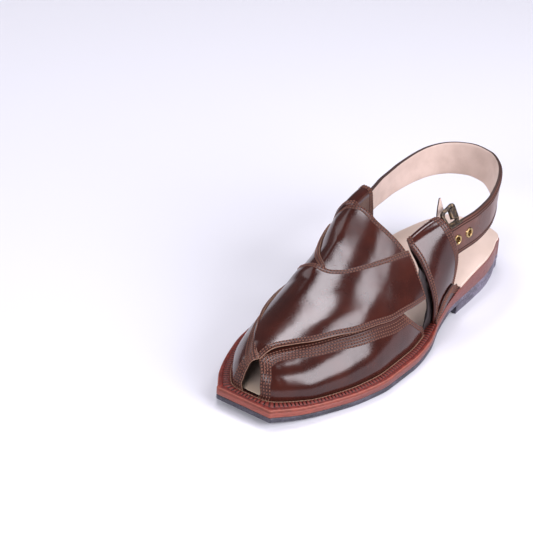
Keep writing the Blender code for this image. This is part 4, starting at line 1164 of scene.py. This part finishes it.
# The apron: a scalloped flap of dark rough leather at the foot of the lateral band, quilted with close
# rows of stitches and sewn down to the welt.
APRON_THICK, APRON_INSET = 1.2, 0.7
APRON_HEIGHTS = np.array((
    (0.02, 0.03), (0.12, 0.055), (0.26, 0.088), (0.4, 0.11), (0.6, 0.114), (0.78, 0.1), (0.92, 0.066),
    (1.04, 0.036), (1.14, 0.02),
))
apron_leather = polished("rough_apron_leather", (0.030, 0.010, 0.009), (0.075, 0.022, 0.018), 0.42)
height = monotone(APRON_HEIGHTS[:, 0], APRON_HEIGHTS[:, 1])
share, rise = np.meshgrid(APRON_HEIGHTS[0, 0] + np.ptp(APRON_HEIGHTS[:, 0]) * spread(80), spread(30),
                          indexing="ij")
grid = band_middle(LATERAL_BAND_FRONT, LATERAL_BAND_REAR, 1.0, share, rise * height(share))
grid[..., 0] += BAND_THICK / 2 + GAP + APRON_THICK / 2 + JOIN
slope = (1 - rise) ** 2
grid[..., 0] += slope * (lateral_edge(grid[:, 0, 1]) - APRON_INSET - grid[:, 0, 0])[:, None]
grid[:, 0, 2] = seat_height(grid[:, 0, 1]) + GAP
apron = Hide("apron_flap", grid, grid_normal(grid, (0,), 1.0), -APRON_THICK / 2, APRON_THICK / 2,
             (apron_leather, lining, apron_leather))
put_on(apron, "apron", (("top", 4, 0.6),), "lateral_apron", "apron_leather", pitch=1.5, length=1.9)


# The back strap: polished brown leather outside and pale pink-beige lining inside, with folded hems sewn
# along both edges. Its ends run into the side bands, and two eyelet holes go through its outer end.
STRAP_THICK, STRAP_WIDTH, STRAP_PILLOW = 3.0, 24.5, 0.35
STRAP_ROUTE = (
    # x, y, z and how far the top edge leans out
    (31.6, 35, 58, -3.5), (35.3, 50, 61.8, -3.5), (38.3, 64, 64.4, -3), (39.4, 80, 65, -2.5),
    (38.4, 97, 66.6, -1.5), (34.8, 112, 69.6, 0), (28.2, 126, 72.8, 2.5), (18.4, 137.8, 75.2, 4.5),
    (7.6, 144.4, 76.2, 5), (-4, 146.4, 76.2, 5), (-16.4, 143.8, 75.2, 4.5),
    (-27.4, 136.4, 73.8, 3), (-35.2, 123.6, 72, 1), (-39.4, 108, 69.8, -1),
    (-41.4, 92, 67.6, -2.5), (-41.2, 76, 66.2, -3), (-39.4, 62, 65.2, -3.5),
    (-36.6, 48, 64.4, -3.5), (-34.6, 38, 63.6, -3.5),
)
EYELET_PLACES, EYELET_OPENING = (0.088, 0.136), 3.1
STRAP_STEPS = 400


def strap_line(count):
    """The strap's middle line, with its direction up over its width and out of its face at each point."""
    route = curve_through(STRAP_ROUTE)(np.linspace(0, 1, count))
    middle = route[:, :3]
    way = unit(np.gradient(middle, axis=0))
    level = unit(np.stack([way[:, 1], -way[:, 0], 0 * way[:, 0]], -1))
    rise = unit(np.array([0, 0, STRAP_WIDTH]) + level * route[:, 3:])
    face = unit(np.cross(way, rise))
    face *= np.sign((face * level).sum(1))[:, None]
    return middle, rise, face


strap_leather = polished("polished_strap_leather", (0.060, 0.019, 0.012), (0.125, 0.042, 0.027), 0.24)
strap_lining = Finish("pink_beige_lining", {"Sheen Weight": 0.15})
tone = strap_lining.noise(12.0, 3.0).rise(0.3, 0.7)
strap_lining.colour(tone, (0.53, 0.405, 0.345), (0.61, 0.475, 0.41))
strap_lining.roughness(0.5 + strap_lining.noise(2.0) * 0.2)
strap_lining.relief(strap_lining.cells(0.6).rise(0.0, 0.3) * 0.04 + strap_lining.noise(7.0) * 0.25)
strap_edge = Finish("dark_strap_edge", {"IOR": 1.5})
strap_edge.colour(strap_edge.noise(1.2), (0.016, 0.006, 0.005), (0.055, 0.020, 0.014))
strap_edge.roughness(0.4 + strap_edge.noise(2.0) * 0.2)
dark_thread = Finish("dark_brown_thread", {"Specular IOR Level": 0.3})
dark_thread.colour(dark_thread.noise(0.5), (0.030, 0.011, 0.008), (0.085, 0.034, 0.024))
dark_thread.roughness(0.6 + dark_thread.noise(1.0) * 0.2)

eyelet_axes = []
for place in EYELET_PLACES:
    centre, upward, out = (part[int(round(place * STRAP_STEPS))] for part in strap_line(STRAP_STEPS + 1))
    eyelet_axes.append((centre, np.cross(upward, out), upward, out))
middle, rise, face = strap_line(420)
width = spread(44) - 0.5
grid = middle[:, None] + rise[:, None] * STRAP_WIDTH * width[None, :, None]
normal = np.repeat(face[:, None], grid.shape[1], axis=1)
half = STRAP_THICK / 2
pillow = STRAP_PILLOW * (1 - (2 * width[None]) ** 4) + waves(grid, 0.06)
openings = [centre + out * half for centre, _, _, out in eyelet_axes]
strap = Hide("back_strap_leather", grid, normal, -half, half + pillow,
             (strap_leather, strap_lining, strap_edge), (openings, EYELET_OPENING))
put_on(strap, "back_strap", (("top", 2, 0.75), ("bottom", 2, 0.75)), "back_strap", "strap_leather",
       yarn=dark_thread)


# The eyelets: pressed brass rings, slightly tarnished, set through the two holes in the strap's outer end
# and rolled over both its faces.
EYELET_HOLE_RADIUS, EYELET_RIM_RADIUS, EYELET_RIM_THICK, EYELET_STEPS = 2.1, 3.9, 0.9, 56
brass = Finish("pressed_brass", {"Metallic": 1.0})
tarnish = brass.noise(2.2, 3.0).rise(0.4, 0.75)
brass.colour(tarnish, (0.50, 0.36, 0.17), (0.27, 0.17, 0.075))
brass.roughness(0.22 + tarnish * 0.2)
brass.relief(brass.noise(0.8) * 0.05)

flange = []
for angle in range(180, -1, -20):
    reach, bulge = math.cos(math.radians(angle)), math.sin(math.radians(angle))
    radius = (EYELET_RIM_RADIUS + EYELET_HOLE_RADIUS + (EYELET_RIM_RADIUS - EYELET_HOLE_RADIUS) * reach) / 2
    flange.append((radius, STRAP_THICK / 2 + GAP + EYELET_RIM_THICK * bulge))
flange += [(radius, -height) for radius, height in flange[::-1]]
turn = np.linspace(0, 2 * math.pi, EYELET_STEPS, endpoint=False)[:, None]
faces = wall_faces(len(flange), EYELET_STEPS, joined=True)
for number, (centre, side, upward, out) in enumerate(eyelet_axes, 1):
    spokes = np.cos(turn) * side + np.sin(turn) * upward
    points = np.vstack([centre + spokes * radius + out * height for radius, height in flange])
    eyelet = make_piece("eyelet_ring_%d" % number, points, faces, [brass], bend=50)
    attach(eyelet, "root")
    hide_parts("eyelet_%d" % number)


# The buckle: a cast frame of antique brass on a hinge bar inside the lateral band, with round corners and
# a broad rear bar. Its plating is dark, rubbed through to lighter metal in random patches.
BUCKLE_CORNERS = ((35, 46.9, 77.3), (36, 58.4, 78.1), (30.2, 58.4, 89.2), (29.2, 46.2, 84.8))
BUCKLE_CORNER_RADIUS = 2.4
BUCKLE_WIRE, BUCKLE_BAR_WIDTH, BUCKLE_BAR_THICK = 2.5, 7.0, 3.0
BAR_START, BAR_RUN = 1.6, 1.4
BUCKLE_SQUARENESS, BUCKLE_SIDES = 1.5, 20

antique = Finish("antique_plating", {"Metallic": 0.6})
rubbed = antique.noise(1.8, 3.0).rise(0.45, 0.7)
antique.colour(rubbed, (0.035, 0.026, 0.020), (0.17, 0.115, 0.065))
antique.roughness(0.3 + antique.noise(3.0) * 0.25)
antique.relief(antique.noise(1.0, 3.0) * 0.12)

corners = np.array(BUCKLE_CORNERS)
lower, rear_lower, rear_upper, upper = corners
centre = corners.mean(axis=0)
flat = unit(np.cross(rear_upper - lower, upper - rear_lower))
aft = unit(np.cross(rear_upper - rear_lower, flat))
aft *= math.copysign(1, aft @ (rear_lower - lower))
rear = (rear_lower - centre) @ aft
t = np.linspace(0, 1, 9)[:, None]
bends = []
for before, corner, after in zip(np.roll(corners, 1, axis=0), corners, np.roll(corners, -1, axis=0)):
    start = corner + unit(before - corner) * BUCKLE_CORNER_RADIUS
    end = corner + unit(after - corner) * BUCKLE_CORNER_RADIUS
    bends.append(start * (1 - t) ** 2 + corner * 2 * t * (1 - t) + end * t ** 2)
path = resample(np.vstack(bends + [bends[0][:1]]), 0.45)[:-1]

spoke = unit(np.cross(np.roll(path, -1, axis=0) - np.roll(path, 1, axis=0), flat))
spoke *= np.sign((spoke * (path - centre)).sum(1))[:, None]
broad = smoothstep(((path - centre) @ aft - rear + BAR_START) / BAR_RUN)[:, None]
wide = BUCKLE_WIRE + (BUCKLE_BAR_WIDTH - BUCKLE_WIRE) * broad
thick = BUCKLE_WIRE + (BUCKLE_BAR_THICK - BUCKLE_WIRE) * broad
turn = 2 * math.pi * (np.arange(BUCKLE_SIDES) + 0.5) / BUCKLE_SIDES
across_wire = np.tanh(BUCKLE_SQUARENESS * np.cos(turn)) / math.tanh(BUCKLE_SQUARENESS) * wide / 2
through_wire = np.tanh(BUCKLE_SQUARENESS * np.sin(turn)) / math.tanh(BUCKLE_SQUARENESS) * thick / 2
section = across_wire - (wide - BUCKLE_WIRE) / 2
points = path[:, None] + spoke[:, None] * section[..., None] + flat * through_wire[..., None]
faces = wall_faces(len(path), BUCKLE_SIDES, joined=True)
buckle = make_piece("buckle_casting", points.reshape(-1, 3), faces, [antique], bend=60)
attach(buckle, "root")
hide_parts("buckle_frame")


# The prong: a thin tapered pin of the same metal as the frame. It is pivoted on the hinge bar beside the
# frame's near arm, and reaches a little past the rear bar.
PRONG_LINE = ((37.5, 46.6, 76.9), (38.5, 57, 77.6), (38.9, 61.6, 78.3))
PRONG_RADIUS = 0.95
prong_line = curve_through(PRONG_LINE)(np.linspace(0, 1, 40))
taper = monotone((0.0, 0.1, 0.5, 0.85, 1.0), (0.7, 1.0, 1.0, 0.85, 0.35))(np.linspace(0, 1, 40))
points, faces = tube(prong_line, PRONG_RADIUS * taper, 14)
prong = make_piece("buckle_pin", points, faces, [antique], bend=60)
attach(prong, "root")
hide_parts("buckle_prong")


# The strap's tip: the pointed end of the buckled strap, which stands up behind the buckle inside the band
# with its pale lining turned outward.
TIP_ROWS = (
    # x, y, z and width
    (28.6, 52.6, 56, 9), (26.8, 53, 67, 9), (25.2, 52.8, 78, 8.5), (24.3, 51.7, 87, 5),
    (23.9, 50.9, 94.5, 1.2),
)
TIP_THICK = 1.8
TIP_WAY, TIP_FACE = np.array((0.18, 0.98, 0.0)), np.array((0.95, -0.18, 0.25))
rows = curve_through(TIP_ROWS)(spread(60))
grid = rows[:, None, :3] + rows[:, 3, None, None] * (spread(20) - 0.5)[None, :, None] * TIP_WAY
normal = np.broadcast_to(unit(TIP_FACE), grid.shape)
finishes = (strap_lining, strap_leather, strap_edge)
tip = Hide("strap_point", grid, normal, -TIP_THICK / 2, TIP_THICK / 2, finishes)
put_on(tip, "strap_tip", node="strap_tip", slot="strap_leather")
